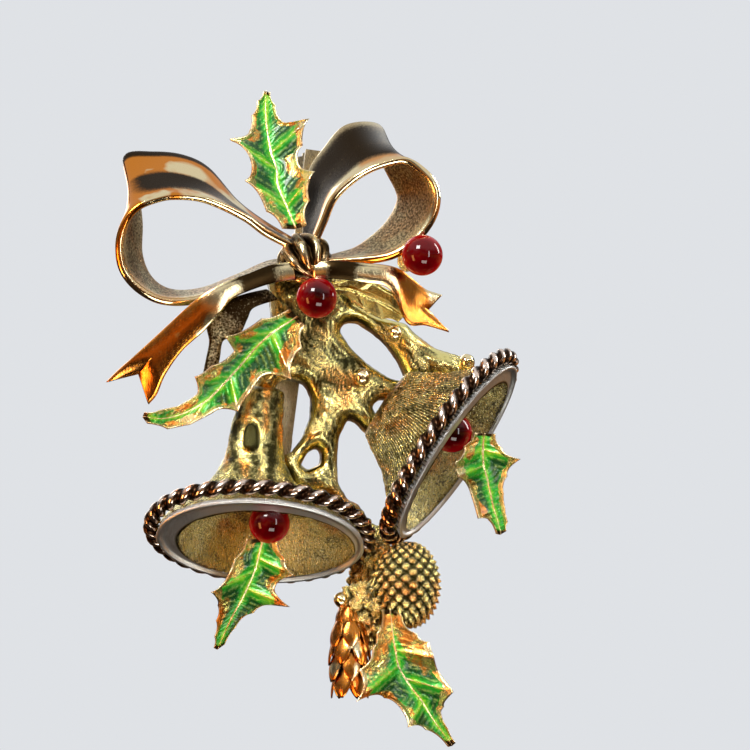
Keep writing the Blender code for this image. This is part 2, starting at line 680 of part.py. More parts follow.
def hinge():
    axis = (0.0, PIN_AXIS_Y, HINGE_Z)
    floor = FOOT_Y - PIN_AXIS_Y
    outer = EYE_HALF_WIDTH + GAP + CHEEK
    bm = bmesh.new()
    box(bm, (-outer, floor, -BRACKET_HALF_LENGTH), (outer, BRACKET_BACK, BRACKET_HALF_LENGTH))
    bracket = pin_piece(bm, "hinge_bracket", axis, smooth=False)
    inner = outer - CHEEK
    hole = rod_cutter("rivet_hole", (-3, 0, 0), (3, 0, 0), RIVET_HOLE, axis)
    cut(bracket, [box_cutter("bracket_room", (-inner, floor + CHEEK, -3), (inner, 3, 3), axis), hole])

    bm = bmesh.new()
    rod(bm, (-outer - HEAD, 0, 0), (outer + HEAD, 0, 0), RIVET_RADIUS, 16)
    rivet = pin_piece(bm, "hinge_rivet", axis)
    for side in (-1, 1):
        bm = bmesh.new()
        head = side * (outer + HEAD_GAP)
        rod(bm, (head, 0, 0), (head + side * HEAD, 0, 0), RIVET_RADIUS + HEAD, 16)
        cut(rivet, [pin_cutter(bm, f"rivet_head_{side + 1}", axis)], "UNION")

    bm = bmesh.new()
    rod(bm, (-EYE_HALF_WIDTH, 0, 0), (EYE_HALF_WIDTH, 0, 0), EYE_RADIUS, 20)
    stem = pin_piece(bm, "pin_stem", axis)
    reach = STEM_TOP - HINGE_Z
    shank = bmesh.new()
    rod(shank, (0, 0, EYE_RADIUS * 0.75), (0, 0, reach - POINT_LENGTH), STEM_RADIUS, 12)
    point = bmesh.new()
    rod(point, (0, 0, reach - POINT_LENGTH - 0.2), (0, 0, reach), STEM_RADIUS * 0.96, 12, STEM_RADIUS * 0.2)
    cut(stem, [pin_cutter(shank, "stem_shank", axis), pin_cutter(point, "stem_point", axis)], "UNION")
    cut(stem, [hole])


def catch():
    low, high = CATCH_Z
    axis = (0.0, PIN_AXIS_Y, 0.0)
    bm = bmesh.new()
    rod(bm, (0, 0, low), (0, 0, high), CATCH_OUTER, 24)
    base = pin_piece(bm, "catch_base", axis)
    into_ring = -CATCH_INNER - GAP
    foot_low = (-FOOT_HALF_WIDTH, FOOT_Y - PIN_AXIS_Y, low)
    foot = box_cutter("catch_foot", foot_low, (FOOT_HALF_WIDTH, into_ring, high), axis)
    cut(base, [foot], "UNION")
    bore = rod_cutter("catch_bore", (0, 0, low - 1), (0, 0, high + 1), CATCH_INNER, axis)
    mouth = (-CATCH_SLOT_HALF_WIDTH, 0, low - 1), (CATCH_SLOT_HALF_WIDTH, 4, high + 1)
    cut(base, [bore, box_cutter("catch_mouth", *mouth, axis)])

    bottom, top = SLEEVE_Z
    bm = bmesh.new()
    rod(bm, (0, 0, bottom), (0, 0, top), SLEEVE_OUTER, 24)
    sleeve = pin_piece(bm, "catch_sleeve", axis)
    collar = (CATCH_OUTER + CATCH_INNER) / 2 + GAP / 2
    lower = bmesh.new()
    rod(lower, (0, 0, bottom - COLLAR), (0, 0, low - GAP), collar, 24)
    upper = bmesh.new()
    rod(upper, (0, 0, high + GAP), (0, 0, high + GAP + COLLAR), collar, 24)
    tab = bmesh.new()
    tab_top = high + GAP + COLLAR + HEAD
    box(tab, (TAB_ROOT, -TAB_HALF_WIDTH, high + GAP), (TAB_REACH, TAB_HALF_WIDTH, tab_top))
    bmesh.ops.rotate(tab, verts=tab.verts, matrix=Matrix.Rotation(TAB_TURN, 3, "Z"))
    added = [
        pin_cutter(lower, "sleeve_lower_collar", axis),
        pin_cutter(upper, "sleeve_upper_collar", axis),
        pin_cutter(tab, "sleeve_tab", axis),
    ]
    cut(sleeve, added, "UNION")
    bore = rod_cutter("sleeve_bore", (0, 0, bottom - 2), (0, 0, top + 2), SLEEVE_INNER, axis)
    slot = (-SLOT_HALF_WIDTH, 0, bottom - 2), (SLOT_HALF_WIDTH, 4, top + 2)
    cut(sleeve, [bore, box_cutter("sleeve_slot", *slot, axis)])


# Relief -------------------------------------------------------------------------------------------------------

knot = finish(cone("bow_knot", (0.7, -7.3, 2.9), (2.6, 2.7, 2.8), 10, 8, 0.05), GOLD_BRIGHT)
cone_round = finish(cone("cone_round", (11.0, -5.6, -29.6), (3.4, 3.2, 4.7), 14, 10, 0.07), GOLD_GRAINED)
cone_long = cone("cone_long", (5.3, -5.4, -36.6), (1.9, 2.0, 4.7), 10, 8, 0.1, math.radians(-4))
finish(cone_long, GOLD_BRIGHT)
cluster = cone("gold_cluster", (6.6, -4.8, -28.6), (2.9, 2.4, 4.6), 12, 8, 0.06, math.radians(6))
finish(cluster, GOLD_GRAINED)
knot_room = pocket_of(knot, KNOT_ROOM)
cone_rooms = [pocket_of(cone_round, CONE_ROOM), pocket_of(cone_long, CONE_ROOM)]
cluster_room = pocket_of(cluster, CONE_ROOM)

bells = {}
bell_rooms = []
rope_rooms = []
for side, (sections, bowl, mouth, turn) in BELLS.items():
    bells[side] = bell_body("bell_" + side, sections, bowl, mouth, turn)
    rope_rim("rope_rim_" + side, sections, mouth, turn)
    bell_rooms.append(bell_pocket(f"bell_{side}_room", sections, mouth, turn, GAP + 0.1))
    rope_rooms.append(bell_pocket(f"rope_{side}_room", sections, mouth, turn, ROPE_ROOM))

frame = plate("twig_frame", FRAME_OUTLINE, FRAME_HOLES, FRAME_FRONT, FRAME_BACK, FRAME_ROUNDING)
lean(frame, (FRAME_FRONT + FRAME_BACK) / 2)
finish(frame, GOLD_GRAINED, smooth=False)
cut(frame, [*bell_rooms, *cone_rooms, cluster_room])
cut(cluster, [cone_rooms[0], cone_rooms[1], *rope_rooms])
cut(cone_round, rope_rooms)

knot_bead = bead_on_peg("knot", (2.0, -9.6, -1.0), (0, 1, 0), 3.1)
loop_bead = bead_on_peg("loop", (12.6, -11.0, 3.4), (-1.4, 2.7, -0.4), 0.9)
left_clapper = bead_on_peg("clapper_left", (-2.7, -9.2, -23.6), (-0.3, 3.6, 1.6), 1.3)
right_clapper = bead_on_peg("clapper_right", (15.6, -8.0, -14.4), (-1.4, 2.4, 0.0), 0.5)
cut(bells["left"], [left_clapper])
cut(bells["right"], [right_clapper])
for name, centre, radius in BERRIES:
    ball(name, centre, radius, GOLD_BRIGHT, 10, 6)

ROOM_IN_LEAF = {
    "top": [knot_room],
    "mid_left": [],
    "bell_left": [left_clapper],
    "bell_right": [right_clapper],
    "bottom": cone_rooms,
}
for place, leaf_shape in LEAVES.items():
    cut(leaf("holly_" + place, *leaf_shape), ROOM_IN_LEAF[place])
    cut(enamel("enamel_" + place, *leaf_shape), ROOM_IN_LEAF[place])
cut(leaf("plain_leaf", PLAIN_LEAF, -5.0, -4.9, GOLD_GRAINED), [knot_room])

cut(bow_loop("bow_loop_left", LOOP_LEFT), [knot_room])
cut(bow_loop("bow_loop_right", LOOP_RIGHT), [knot_room, loop_bead])
cut(ribbon("ribbon_tail_left", TAIL_LEFT), [knot_room])
cut(ribbon("ribbon_tail_right", TAIL_RIGHT), [knot_room, knot_bead])
ribbon("ribbon_fold_rear", FOLD_REAR, curl=0.0)

PIN_FRAME = bpy.data.objects.new("pin_frame", None)
PIN_FRAME.rotation_euler = Euler((0.0, PIN_LEAN, 0.0))
BROOCH.objects.link(PIN_FRAME)
pin_bar()
hinge()
catch()
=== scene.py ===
"""Christmas bell brooch: the fine shape and finish of every piece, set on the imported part.

Shapes are drawn in millimetres and placed by the boxes of the part's nodes. The bow is up (+Z), and the
decorated side faces -Y.
"""

import json
import math

import bmesh
import bpy
import numpy as np
from mathutils import Matrix, Vector, kdtree, noise


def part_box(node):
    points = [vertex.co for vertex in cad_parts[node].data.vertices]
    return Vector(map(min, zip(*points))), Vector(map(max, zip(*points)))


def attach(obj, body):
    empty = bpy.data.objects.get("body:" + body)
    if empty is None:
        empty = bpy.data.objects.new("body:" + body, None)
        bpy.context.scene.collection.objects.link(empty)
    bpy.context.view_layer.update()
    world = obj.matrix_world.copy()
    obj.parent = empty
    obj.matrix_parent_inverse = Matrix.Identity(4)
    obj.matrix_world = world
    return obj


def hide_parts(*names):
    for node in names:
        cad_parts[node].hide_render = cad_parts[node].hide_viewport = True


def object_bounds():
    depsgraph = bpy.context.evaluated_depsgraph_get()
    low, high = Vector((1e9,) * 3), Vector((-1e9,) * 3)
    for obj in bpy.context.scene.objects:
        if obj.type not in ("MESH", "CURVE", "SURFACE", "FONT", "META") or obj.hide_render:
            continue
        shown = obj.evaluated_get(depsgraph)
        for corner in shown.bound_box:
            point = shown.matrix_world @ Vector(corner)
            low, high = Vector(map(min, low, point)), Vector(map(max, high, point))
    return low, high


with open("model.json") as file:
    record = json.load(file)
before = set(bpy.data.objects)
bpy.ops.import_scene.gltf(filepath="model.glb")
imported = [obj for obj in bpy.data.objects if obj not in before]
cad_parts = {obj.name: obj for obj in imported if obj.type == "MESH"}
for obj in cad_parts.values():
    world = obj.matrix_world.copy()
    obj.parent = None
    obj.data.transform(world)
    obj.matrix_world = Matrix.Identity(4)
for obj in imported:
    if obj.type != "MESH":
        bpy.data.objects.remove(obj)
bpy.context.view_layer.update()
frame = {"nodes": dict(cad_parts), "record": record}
MM = 0.001

BODIES = frame["record"]["behaviour"]["bodies"]
BODY_OF = {node: body for body, nodes in BODIES.items() for node in nodes}

# Leaves: one row per station from base to tip, each (left edge, midrib, right edge) as (x, z).
HOLLY_TOP = (
    ((-1.8, 5.6), (-0.4, 5.6), (0.7, 5.9)),
    ((-3.4, 7.3), (-1.2, 7.7), (1.0, 8.4)),
    ((-5.6, 10.2), (-2.1, 10.0), (1.4, 11.2)),
    ((-4.8, 12.0), (-2.2, 11.7), (-0.1, 12.6)),
    ((-7.1, 14.5), (-2.7, 13.4), (0.4, 14.2)),
    ((-5.0, 15.7), (-3.0, 15.2), (1.0, 16.8)),
    ((-4.7, 17.4), (-3.2, 17.2), (-1.4, 16.7)),
    ((-4.1, 19.0), (-3.2, 18.7), (-2.2, 18.6)),
    ((-3.4, 20.1), (-3.1, 20.2), (-2.7, 20.0)),
)
HOLLY_MID_LEFT = (
    ((-1.0, -2.3), (-0.1, -3.0), (0.7, -4.0)),
    ((-3.8, -3.3), (-2.5, -4.6), (0.3, -6.3)),
    ((-7.6, -5.3), (-4.1, -6.0), (-0.9, -9.6)),
    ((-6.5, -6.6), (-5.3, -7.4), (-3.8, -9.3)),
    ((-8.7, -8.0), (-6.7, -9.0), (-4.8, -10.8)),
    ((-10.5, -9.3), (-8.0, -10.4), (-6.1, -12.8)),
    ((-10.3, -11.0), (-9.3, -11.6), (-8.6, -12.8)),
    ((-12.1, -12.1), (-11.5, -12.8), (-10.8, -14.0)),
    ((-14.0, -12.5), (-13.6, -13.3), (-13.0, -14.4)),
    ((-15.4, -12.7), (-15.5, -13.1), (-15.0, -13.8)),
)
HOLLY_BELL_LEFT = (
    ((-5.3, -25.3), (-3.6, -25.3), (-2.1, -25.3)),
    ((-6.5, -27.3), (-4.0, -27.0), (-1.3, -27.3)),
    ((-7.1, -28.8), (-4.3, -28.3), (-0.5, -29.0)),
    ((-8.8, -30.6), (-5.0, -30.0), (-2.3, -30.0)),
    ((-8.0, -31.8), (-5.6, -31.3), (-0.9, -32.0)),
    ((-8.1, -33.3), (-6.5, -33.0), (-4.3, -32.5)),
    ((-8.2, -34.8), (-7.3, -34.8), (-6.1, -34.0)),
    ((-8.2, -35.9), (-7.8, -36.1), (-7.1, -35.6)),
)
HOLLY_BELL_RIGHT = (
    ((17.6, -14.5), (18.7, -14.5), (19.8, -14.6)),
    ((16.5, -15.8), (18.6, -16.0), (20.4, -16.0)),
    ((15.5, -17.6), (18.7, -17.6), (22.2, -17.2)),
    ((15.9, -19.0), (19.1, -19.0), (21.1, -18.8)),
    ((17.4, -20.5), (19.5, -20.5), (20.8, -20.5)),
    ((18.2, -23.0), (19.9, -22.0), (21.0, -22.0)),
    ((19.4, -23.1), (20.3, -23.2), (21.3, -23.3)),
    ((20.2, -24.4), (20.7, -24.5), (21.2, -24.2)),
)
HOLLY_BOTTOM = (
    ((8.3, -32.4), (9.1, -32.3), (10.2, -32.9)),
    ((7.7, -34.8), (9.4, -34.8), (11.8, -34.8)),
    ((7.3, -36.3), (9.7, -36.3), (13.0, -35.6)),
    ((6.0, -38.4), (10.0, -37.8), (13.4, -37.2)),
    ((5.6, -41.6), (10.7, -39.1), (14.0, -38.5)),
    ((8.6, -41.2), (11.5, -40.2), (15.4, -40.6)),
    ((10.3, -42.2), (12.5, -41.4), (14.7, -42.0)),
    ((10.9, -44.1), (13.4, -42.8), (14.5, -42.8)),
    ((12.9, -44.3), (14.4, -44.2), (15.2, -44.2)),
    ((15.3, -46.0), (15.7, -45.9), (16.0, -45.6)),
)
PLAIN_LEAF = (
    ((3.3, 0.7), (3.5, 0.1), (4.2, -0.6)),
    ((5.2, 1.4), (5.4, 0.0), (5.5, -1.6)),
    ((7.7, 0.9), (7.4, -0.8), (6.9, -2.4)),
    ((9.7, -0.3), (9.2, -1.6), (8.5, -3.1)),
    ((11.1, -1.9), (10.8, -2.7), (10.2, -3.3)),
)
# Each leaf: rows, depth at base and tip, its place in its node's box (see settled), and how far its enamel is
# worn off near the base.
HOLLY = {
    "top": (HOLLY_TOP, -8.9, -4.9, "mhh", 0.2),
    "mid_left": (HOLLY_MID_LEFT, -7.0, -5.2, "mhm", 0.3),
    "bell_left": (HOLLY_BELL_LEFT, -8.6, -4.6, "mhl", 0.3),
    "bell_right": (HOLLY_BELL_RIGHT, -8.0, -5.6, "mhl", 0.0),
    "bottom": (HOLLY_BOTTOM, -7.4, -4.6, "hhl", 1.0),
}

# Bow loops: (front edge, back edge) per station, each (x, y, z), from over the knot round to under it.
LOOP_LEFT = (
    ((0.2, -8.0, 3.7), (-0.4, -5.2, 5.2)),
    ((-3.0, -8.4, 5.2), (-3.4, -4.3, 7.2)),
    ((-5.3, -9.0, 6.7), (-6.1, -4.6, 9.2)),
    ((-9.3, -10.0, 8.2), (-8.8, -4.4, 12.4)),
    ((-12.3, -10.6, 8.4), (-11.3, -4.2, 13.7)),
    ((-14.3, -10.9, 8.0), (-14.3, -4.2, 14.0)),
    ((-16.3, -11.0, 7.0), (-17.1, -4.2, 13.6)),
    ((-17.6, -11.0, 5.2), (-16.0, -4.2, 10.2)),
    ((-18.0, -10.8, 3.2), (-15.5, -4.2, 7.0)),
    ((-17.5, -10.5, 1.0), (-15.5, -4.2, 3.7)),
    ((-15.8, -10.2, -0.8), (-14.5, -4.2, 1.2)),
    ((-13.3, -9.8, -1.8), (-12.5, -4.3, -0.1)),
    ((-9.8, -9.2, -1.5), (-9.5, -4.4, 0.0)),
    ((-5.8, -8.6, 0.2), (-5.8, -4.6, 1.4)),
    ((-2.6, -8.2, 1.7), (-2.6, -4.9, 2.8)),
    ((0.0, -8.0, 2.4), (0.0, -5.4, 3.0)),
)
LOOP_RIGHT = (
    ((1.7, -8.2, 4.2), (0.9, -5.2, 5.6)),
    ((2.7, -8.6, 6.4), (1.2, -3.4, 8.7)),
    ((3.7, -9.2, 8.7), (1.8, -2.4, 12.7)),
    ((5.4, -9.8, 10.4), (3.2, -2.8, 14.9)),
    ((7.2, -10.2, 11.5), (5.2, -3.8, 17.1)),
    ((9.2, -10.4, 12.2), (8.2, -4.2, 17.3)),
    ((10.7, -10.6, 12.4), (9.1, -4.2, 15.7)),
    ((12.2, -10.7, 11.7), (9.0, -4.2, 13.4)),
    ((13.5, -10.7, 10.4), (10.3, -4.2, 10.7)),
    ((13.9, -10.6, 8.7), (10.5, -4.2, 9.4)),
    ((13.4, -10.3, 6.7), (9.7, -4.2, 7.7)),
    ((11.9, -9.9, 4.7), (8.4, -4.3, 6.2)),
    ((9.7, -9.4, 3.2), (6.2, -4.5, 4.5)),
    ((6.7, -8.9, 2.7), (4.2, -4.8, 3.7)),
    ((1.6, -8.2, 2.4), (1.4, -5.2, 2.8)),
)
# Ribbon ends: depth, then upper edge, middle and lower edge, each (x, z).
TAIL_LEFT = (
    (-8.6, (-0.2, 2.9), (-0.1, 2.0), (0.0, 1.1)),
    (-9.6, (-2.5, 2.4), (-2.3, 1.6), (-2.1, 0.7)),
    (-10.4, (-4.8, 1.4), (-4.6, 0.7), (-4.3, -0.1)),
    (-11.0, (-6.9, 0.6), (-6.8, -0.3), (-6.5, -1.2)),
    (-11.2, (-9.2, -0.7), (-8.6, -1.7), (-7.8, -2.8)),
    (-10.8, (-10.9, -2.1), (-10.2, -3.3), (-9.2, -4.4)),
    (-10.0, (-13.0, -4.0), (-12.2, -5.1), (-11.3, -6.3)),
    (-9.2, (-15.4, -6.2), (-14.3, -7.0), (-12.9, -8.6)),
    (-8.4, (-17.5, -8.0), (-15.1, -7.9), (-13.7, -10.5)),
    (-8.0, (-18.8, -9.3), (-15.5, -8.1), (-14.5, -11.5)),
)
TAIL_RIGHT = (
    (-8.8, (1.5, 2.6), (1.5, 1.8), (1.5, 0.9)),
    (-9.2, (3.9, 2.6), (3.9, 1.8), (3.9, 0.9)),
    (-9.0, (6.7, 2.5), (6.6, 1.5), (6.5, 0.6)),
    (-8.6, (9.6, 2.2), (9.4, 1.0), (9.2, 0.0)),
    (-7.9, (11.4, 1.3), (11.2, -0.9), (11.0, -3.3)),
    (-7.4, (12.9, 0.2), (12.3, -1.6), (13.0, -3.5)),
    (-7.0, (14.7, -0.3), (13.0, -2.0), (15.4, -4.1)),
)
FOLD_REAR = (
    (-4.9, (-3.3, -0.2), (-2.7, -0.6), (-2.1, -1.0)),
    (-5.7, (-5.8, -0.9), (-5.2, -1.4), (-4.6, -2.0)),
    (-5.9, (-7.8, -1.5), (-6.5, -2.3), (-5.2, -3.2)),
    (-5.7, (-9.4, -2.8), (-7.6, -3.7), (-5.9, -4.6)),
    (-5.4, (-9.2, -4.0), (-8.2, -4.5), (-7.2, -5.0)),
    (-5.0, (-8.9, -5.4), (-8.3, -5.5), (-7.8, -5.6)),
    (-4.8, (-9.1, -7.0), (-8.6, -7.2), (-8.1, -7.4)),
    (-4.6, (-9.4, -8.6), (-9.0, -8.8), (-8.6, -9.0)),
)

# Bells, from mouth to crown: (along, sideways, back, half width, half depth, forward tilt in degrees).
BELL_LEFT_SECTIONS = (
    (0.0, 0.0, 0.0, 10.4, 6.0, 39),
    (1.3, -0.1, 1.0, 9.7, 5.4, 38),
    (2.7, -0.4, 1.7, 8.0, 4.5, 34),
    (4.8, -0.8, 2.1, 5.3, 3.5, 26),
    (8.0, -1.0, 2.7, 3.2, 2.6, 12),
    (12.0, -0.9, 3.0, 2.6, 2.1, 4),
    (15.2, -0.6, 3.1, 2.2, 1.9, 0),
)
BELL_RIGHT_SECTIONS = (
    (0.0, 0.0, 0.0, 10.4, 5.0, 27),
    (1.4, 0.0, 0.8, 9.8, 4.5, 25),
    (2.9, 0.1, 1.3, 8.2, 4.0, 21),
    (5.0, 0.2, 1.7, 6.2, 3.3, 14),
    (8.3, 0.2, 2.3, 4.1, 2.2, 3),
)
# The bowl inside each bell, from its rim to its floor, in the same terms.
BOWL_LEFT_SECTIONS = (
    (-0.4, 0.0, 0.5, 8.9, 5.0, 39),
    (0.9, -0.1, 1.4, 7.9, 4.3, 38),
    (2.1, -0.1, 1.8, 5.8, 3.0, 36),
    (2.8, -0.2, 2.3, 3.0, 1.6, 34),
    (3.0, -0.2, 2.4, 0.5, 0.3, 34),
)
BOWL_RIGHT_SECTIONS = (
    (-0.3, 0.0, 0.5, 8.9, 4.1, 27),
    (1.1, 0.0, 1.0, 7.9, 3.4, 26),
    (2.3, 0.0, 1.4, 5.6, 2.5, 23),
    (3.0, 0.0, 1.6, 3.0, 1.5, 20),
    (3.2, 0.0, 1.7, 0.5, 0.3, 20),
)
# The polished edge of a mouth: how far in from the outside, and how far back from the mouth.
MOUTH_EDGE = ((0.08, -0.16), (0.25, -0.24), (0.45, -0.18), (0.55, 0.0), (0.75, 0.05))
# Each bell: outside, bowl, turn in the plane of the brooch, 1 for an engraved body or 0 for a plain one, and
# how far its bowl lies to the right of its middle.
BELLS = {
    "left": (BELL_LEFT_SECTIONS, BOWL_LEFT_SECTIONS, math.radians(4), 0.0, 0.7),
    "right": (BELL_RIGHT_SECTIONS, BOWL_RIGHT_SECTIONS, math.radians(-55.7), 1.0, -0.4),
}

ARCH_MIDDLE = (-1.6, 10.4)  # of the blind arch in a plain bell's neck: sideways, and up from the mouth
ARCH_HALF_WIDTH, ARCH_HALF_HEIGHT = 0.75, 1.5
BELL_POINTS = 120  # round a bell
HATCH_PITCH, HATCH_DEPTH = 0.42, 0.10  # of the engraved lines of a bell
# Each point of a peg's outline: how far along it from its middle, by its half length, and radius.
PEG_OUTLINE = (
    (-1.0, 0.05), (-0.98, 0.95), (-0.75, 1.0), (-0.35, 0.72),
    (0.2, 0.62), (0.7, 0.7), (1.05, 0.95), (1.25, 0.05),
)  # fmt: skip
ROPE_TWISTS = 35
ROPE_RADIUS = 0.86
LEAF_DISH = 0.175  # how far a leaf's edge stands forward, for each millimetre out from the midrib
LEAF_FRONT, LEAF_BACK = 0.28, 0.40  # thickness of a leaf in front of its middle plane and behind it
LEAF_STEPS = 12  # stations drawn between two rows of a leaf
LEAF_HALF_STEPS = 22  # points drawn between a midrib and an edge
RIBBON_STEPS = 9  # stations drawn between two rows of a ribbon

# Painted reflections along a bow loop: brightness and warmth of its bands, at shares from its front to its
# back edge.
BANDS_LEFT = (
    ((0.0, 1.0), (0.13, 1.0), (0.18, 0.4), (0.27, 0.05), (0.51, 0.0),
     (0.58, 0.85), (0.68, 1.0), (0.85, 0.9), (0.91, 0.0)),
    ((0.0, 0.1), (0.2, 0.4), (0.6, 0.5), (0.72, 1.2), (0.9, 0.9)),
)  # fmt: skip
BANDS_RIGHT = (
    ((0.0, 1.0), (0.13, 1.0), (0.18, 0.45), (0.26, 0.05), (0.5, 0.1), (0.62, 0.0), (0.84, 0.1), (0.94, 0.5)),
    ((0.0, 0.1), (0.15, 0.8), (0.3, 0.5), (0.8, 0.3), (1.0, 0.1)),
)
# Each loop: rows, bands of painted reflections, how far along it the painted orange glow lies, how strong its
# painted white glare is (1, or 0 for a grey patch painted lighter), and its place in its node's box.
LOOPS = {
    "left": (LOOP_LEFT, BANDS_LEFT, 0.42, 1.0, "lmm"),
    "right": (LOOP_RIGHT, BANDS_RIGHT, 0.9, 0.0, "hmm"),
}
# Each ribbon end: rows, how warm its lower part is (a painted orange reflection), grain, how far its middle
# is bent forward, painted brightness and its place in its node's box.
RIBBON_ENDS = {
    "tail_left": (TAIL_LEFT, 1.0, 0.3, 0.15, 1.0, "lml"),
    "tail_right": (TAIL_RIGHT, 0.6, 0.3, 0.2, 1.0, "hml"),
    "fold_rear": (FOLD_REAR, 0.0, 0.8, 0.2, 0.3, "mmm"),
}
# Each small ball: its size beside its node's, and how far it stands in front of its node.
BERRIES = {"frame": (1.0, 0.85), "leaf": (1.0, 0.5), "bell": (1.05, 0.1), "cone": (1.05, 0.0)}
BEADS = ("knot", "loop", "clapper_left", "clapper_right")
PIN_PARTS = ("pin_bar", "hinge_bracket", "hinge_rivet", "pin_stem", "catch_base", "catch_sleeve")

# Each lamp: where it stands off the brooch's middle (m), its width and height (m), power (W) and colour.
LAMPS = {
    "key": ((-0.16, -0.26, 0.26), (0.12, 0.12), 1.7, (1.0, 0.98, 0.95)),
    "rim": ((0.30, 0.05, 0.16), (0.05, 0.20), 0.55, (1.0, 0.97, 0.94)),
    "warm_card": ((-0.30, -0.16, -0.10), (0.08, 0.18), 0.5, (1.0, 0.42, 0.12)),
    "bounce": ((0.04, -0.24, -0.22), (0.16, 0.10), 0.4, (1.0, 0.98, 0.90)),
    "fill": ((0.22, -0.34, 0.02), (0.04, 0.22), 0.35, (0.95, 0.97, 1.0)),
    "behind": ((-0.10, 0.34, 0.14), (0.20, 0.20), 0.3, (1.0, 0.98, 0.95)),
}
# What reflections see of the room, from below to above: level and colour.
ROOM_COLOURS = (
    (0.00, (0.02, 0.012, 0.008)),
    (0.14, (0.10, 0.05, 0.02)),
    (0.26, (0.40, 0.20, 0.07)),
    (0.41, (0.60, 0.27, 0.08)),
    (0.45, (0.015, 0.010, 0.006)),
    (0.53, (0.022, 0.020, 0.018)),
    (0.58, (0.52, 0.50, 0.46)),
    (0.65, (0.02, 0.018, 0.016)),
    (0.80, (0.16, 0.16, 0.16)),
    (1.00, (0.70, 0.71, 0.73)),
)
FLOOR_COLOURS = (0.70, 0.72, 0.75), (0.74, 0.76, 0.79)
BACKDROP_COLOUR = (0.74, 0.76, 0.79)
FLOOR_BELOW = 28  # from the lowest point of the brooch to the floor
VIEW_SHIFT = (6.4, 0.0, 4.4)  # from the brooch's middle to the point in the middle of the view
VIEW_ANGLES = (-6.0, -6.0)  # azimuth and elevation of the camera, in degrees
VIEW_DISTANCE, VIEW_SPAN = 0.40, 76 * MM


# Materials ------------

# Colour of the painted glints on grainy gold.
GLINT_COLOUR = (1.0, 0.93, 0.66)
# The grey that the grey field mixes in, on bell lips, in bowls and on a loop's patch.
GREY_TONE = (0.66, 0.67, 0.66)
ENAMEL_THIN, ENAMEL_MIDDLE, ENAMEL_DEEP = (0.24, 0.54, 0.02), (0.006, 0.29, 0.008), (0.0, 0.05, 0.006)
ENAMEL_RIDGE = (0.42, 0.62, 0.14)
BARE_PALE, BARE_ORANGE = (0.50, 0.46, 0.13), (0.70, 0.25, 0.04)
# Red glass: a dark core, and the painted glow of light through it towards the outline.
GLASS_DARK, GLASS_RED, GLASS_GLOW = (0.010, 0.0, 0.0), (0.08, 0.0, 0.001), (0.34, 0.0, 0.003)
PIN_DARK, PIN_PALE = (0.48, 0.40, 0.24), (0.72, 0.60, 0.38)
PITS_PER_MM = 4.6
MIX_FIRST, MIX_SECOND, MIX_RESULT = 6, 7, 2  # a Mix node's own colour sockets


def feed(tree, socket, value):
    """Gives an input socket another node's output, a colour or a plain value."""
    if isinstance(value, bpy.types.NodeSocket):
        tree.links.new(value, socket)
    elif socket.type == "RGBA":
        socket.default_value = (*value, 1.0)
    else:
        socket.default_value = value


def add_node(tree, kind, inputs, **settings):
    """A shader node of a kind, with its inputs fed and its settings made."""
    node = tree.nodes.new("ShaderNode" + kind)
    for key, value in settings.items():
        setattr(node, key, value)
    for key, value in inputs.items():
        feed(tree, node.inputs[key], value)
    return node


class Wiring:
    """Builds a material's nodes. Positions are in millimetres."""

    def __init__(self, name):
        self.material = bpy.data.materials.new(name)
        self.material.use_nodes = True
        self.tree = self.material.node_tree
        place = self.add("TexCoord", {}).outputs["Object"]
        self.place = self.add("Mapping", {"Vector": place, "Scale": (1 / MM,) * 3}).outputs[0]

    def add(self, kind, inputs, **settings):
        return add_node(self.tree, kind, inputs, **settings)

    def noise(self, per_mm, detail=2.0, roughness=0.5, squeeze=(1.0, 1.0, 1.0)):
        place = self.add("Mapping", {"Vector": self.place, "Scale": squeeze}).outputs[0]
        settings = {"Vector": place, "Scale": per_mm, "Detail": detail, "Roughness": roughness}
        return self.add("TexNoise", settings).outputs["Fac"]

    def painted(self, name):
        """A field that the mesh carries at its points."""
        return self.add("Attribute", {}, attribute_name=name).outputs["Fac"]

    def sum(self, first, second, operation="ADD"):
        return self.add("Math", {0: first, 1: second}, operation=operation).outputs[0]

    def times(self, first, second):
        return self.sum(first, second, "MULTIPLY")

    def spread(self, value, low, high, to_low=0.0, to_high=1.0):
        """Maps low..high smoothly to to_low..to_high."""
        inputs = {"Value": value, "From Min": low, "From Max": high, "To Min": to_low, "To Max": to_high}
        return self.add("MapRange", inputs, interpolation_type="SMOOTHSTEP").outputs[0]

    def mix(self, share, first, second):
        node = self.add("Mix", {"Factor": share}, data_type="RGBA")
        feed(self.tree, node.inputs[MIX_FIRST], first)
        feed(self.tree, node.inputs[MIX_SECOND], second)
        return node.outputs[MIX_RESULT]

    def bump(self, height, distance_mm, strength=1.0, under=None):
        """A normal bent by a height, on top of the bump under it."""
        inputs = {"Height": height, "Distance": distance_mm * MM, "Strength": strength}
        if under is not None:
            inputs["Normal"] = under
        return self.add("Bump", inputs).outputs[0]

    def surface(self, **inputs):
        """Feeds the inputs of the material's shader, whose names have _ for a space here."""
        shader = self.tree.nodes["Principled BSDF"]
        for key, value in inputs.items():
            feed(self.tree, shader.inputs[key.replace("_", " ")], value)
        return self.material


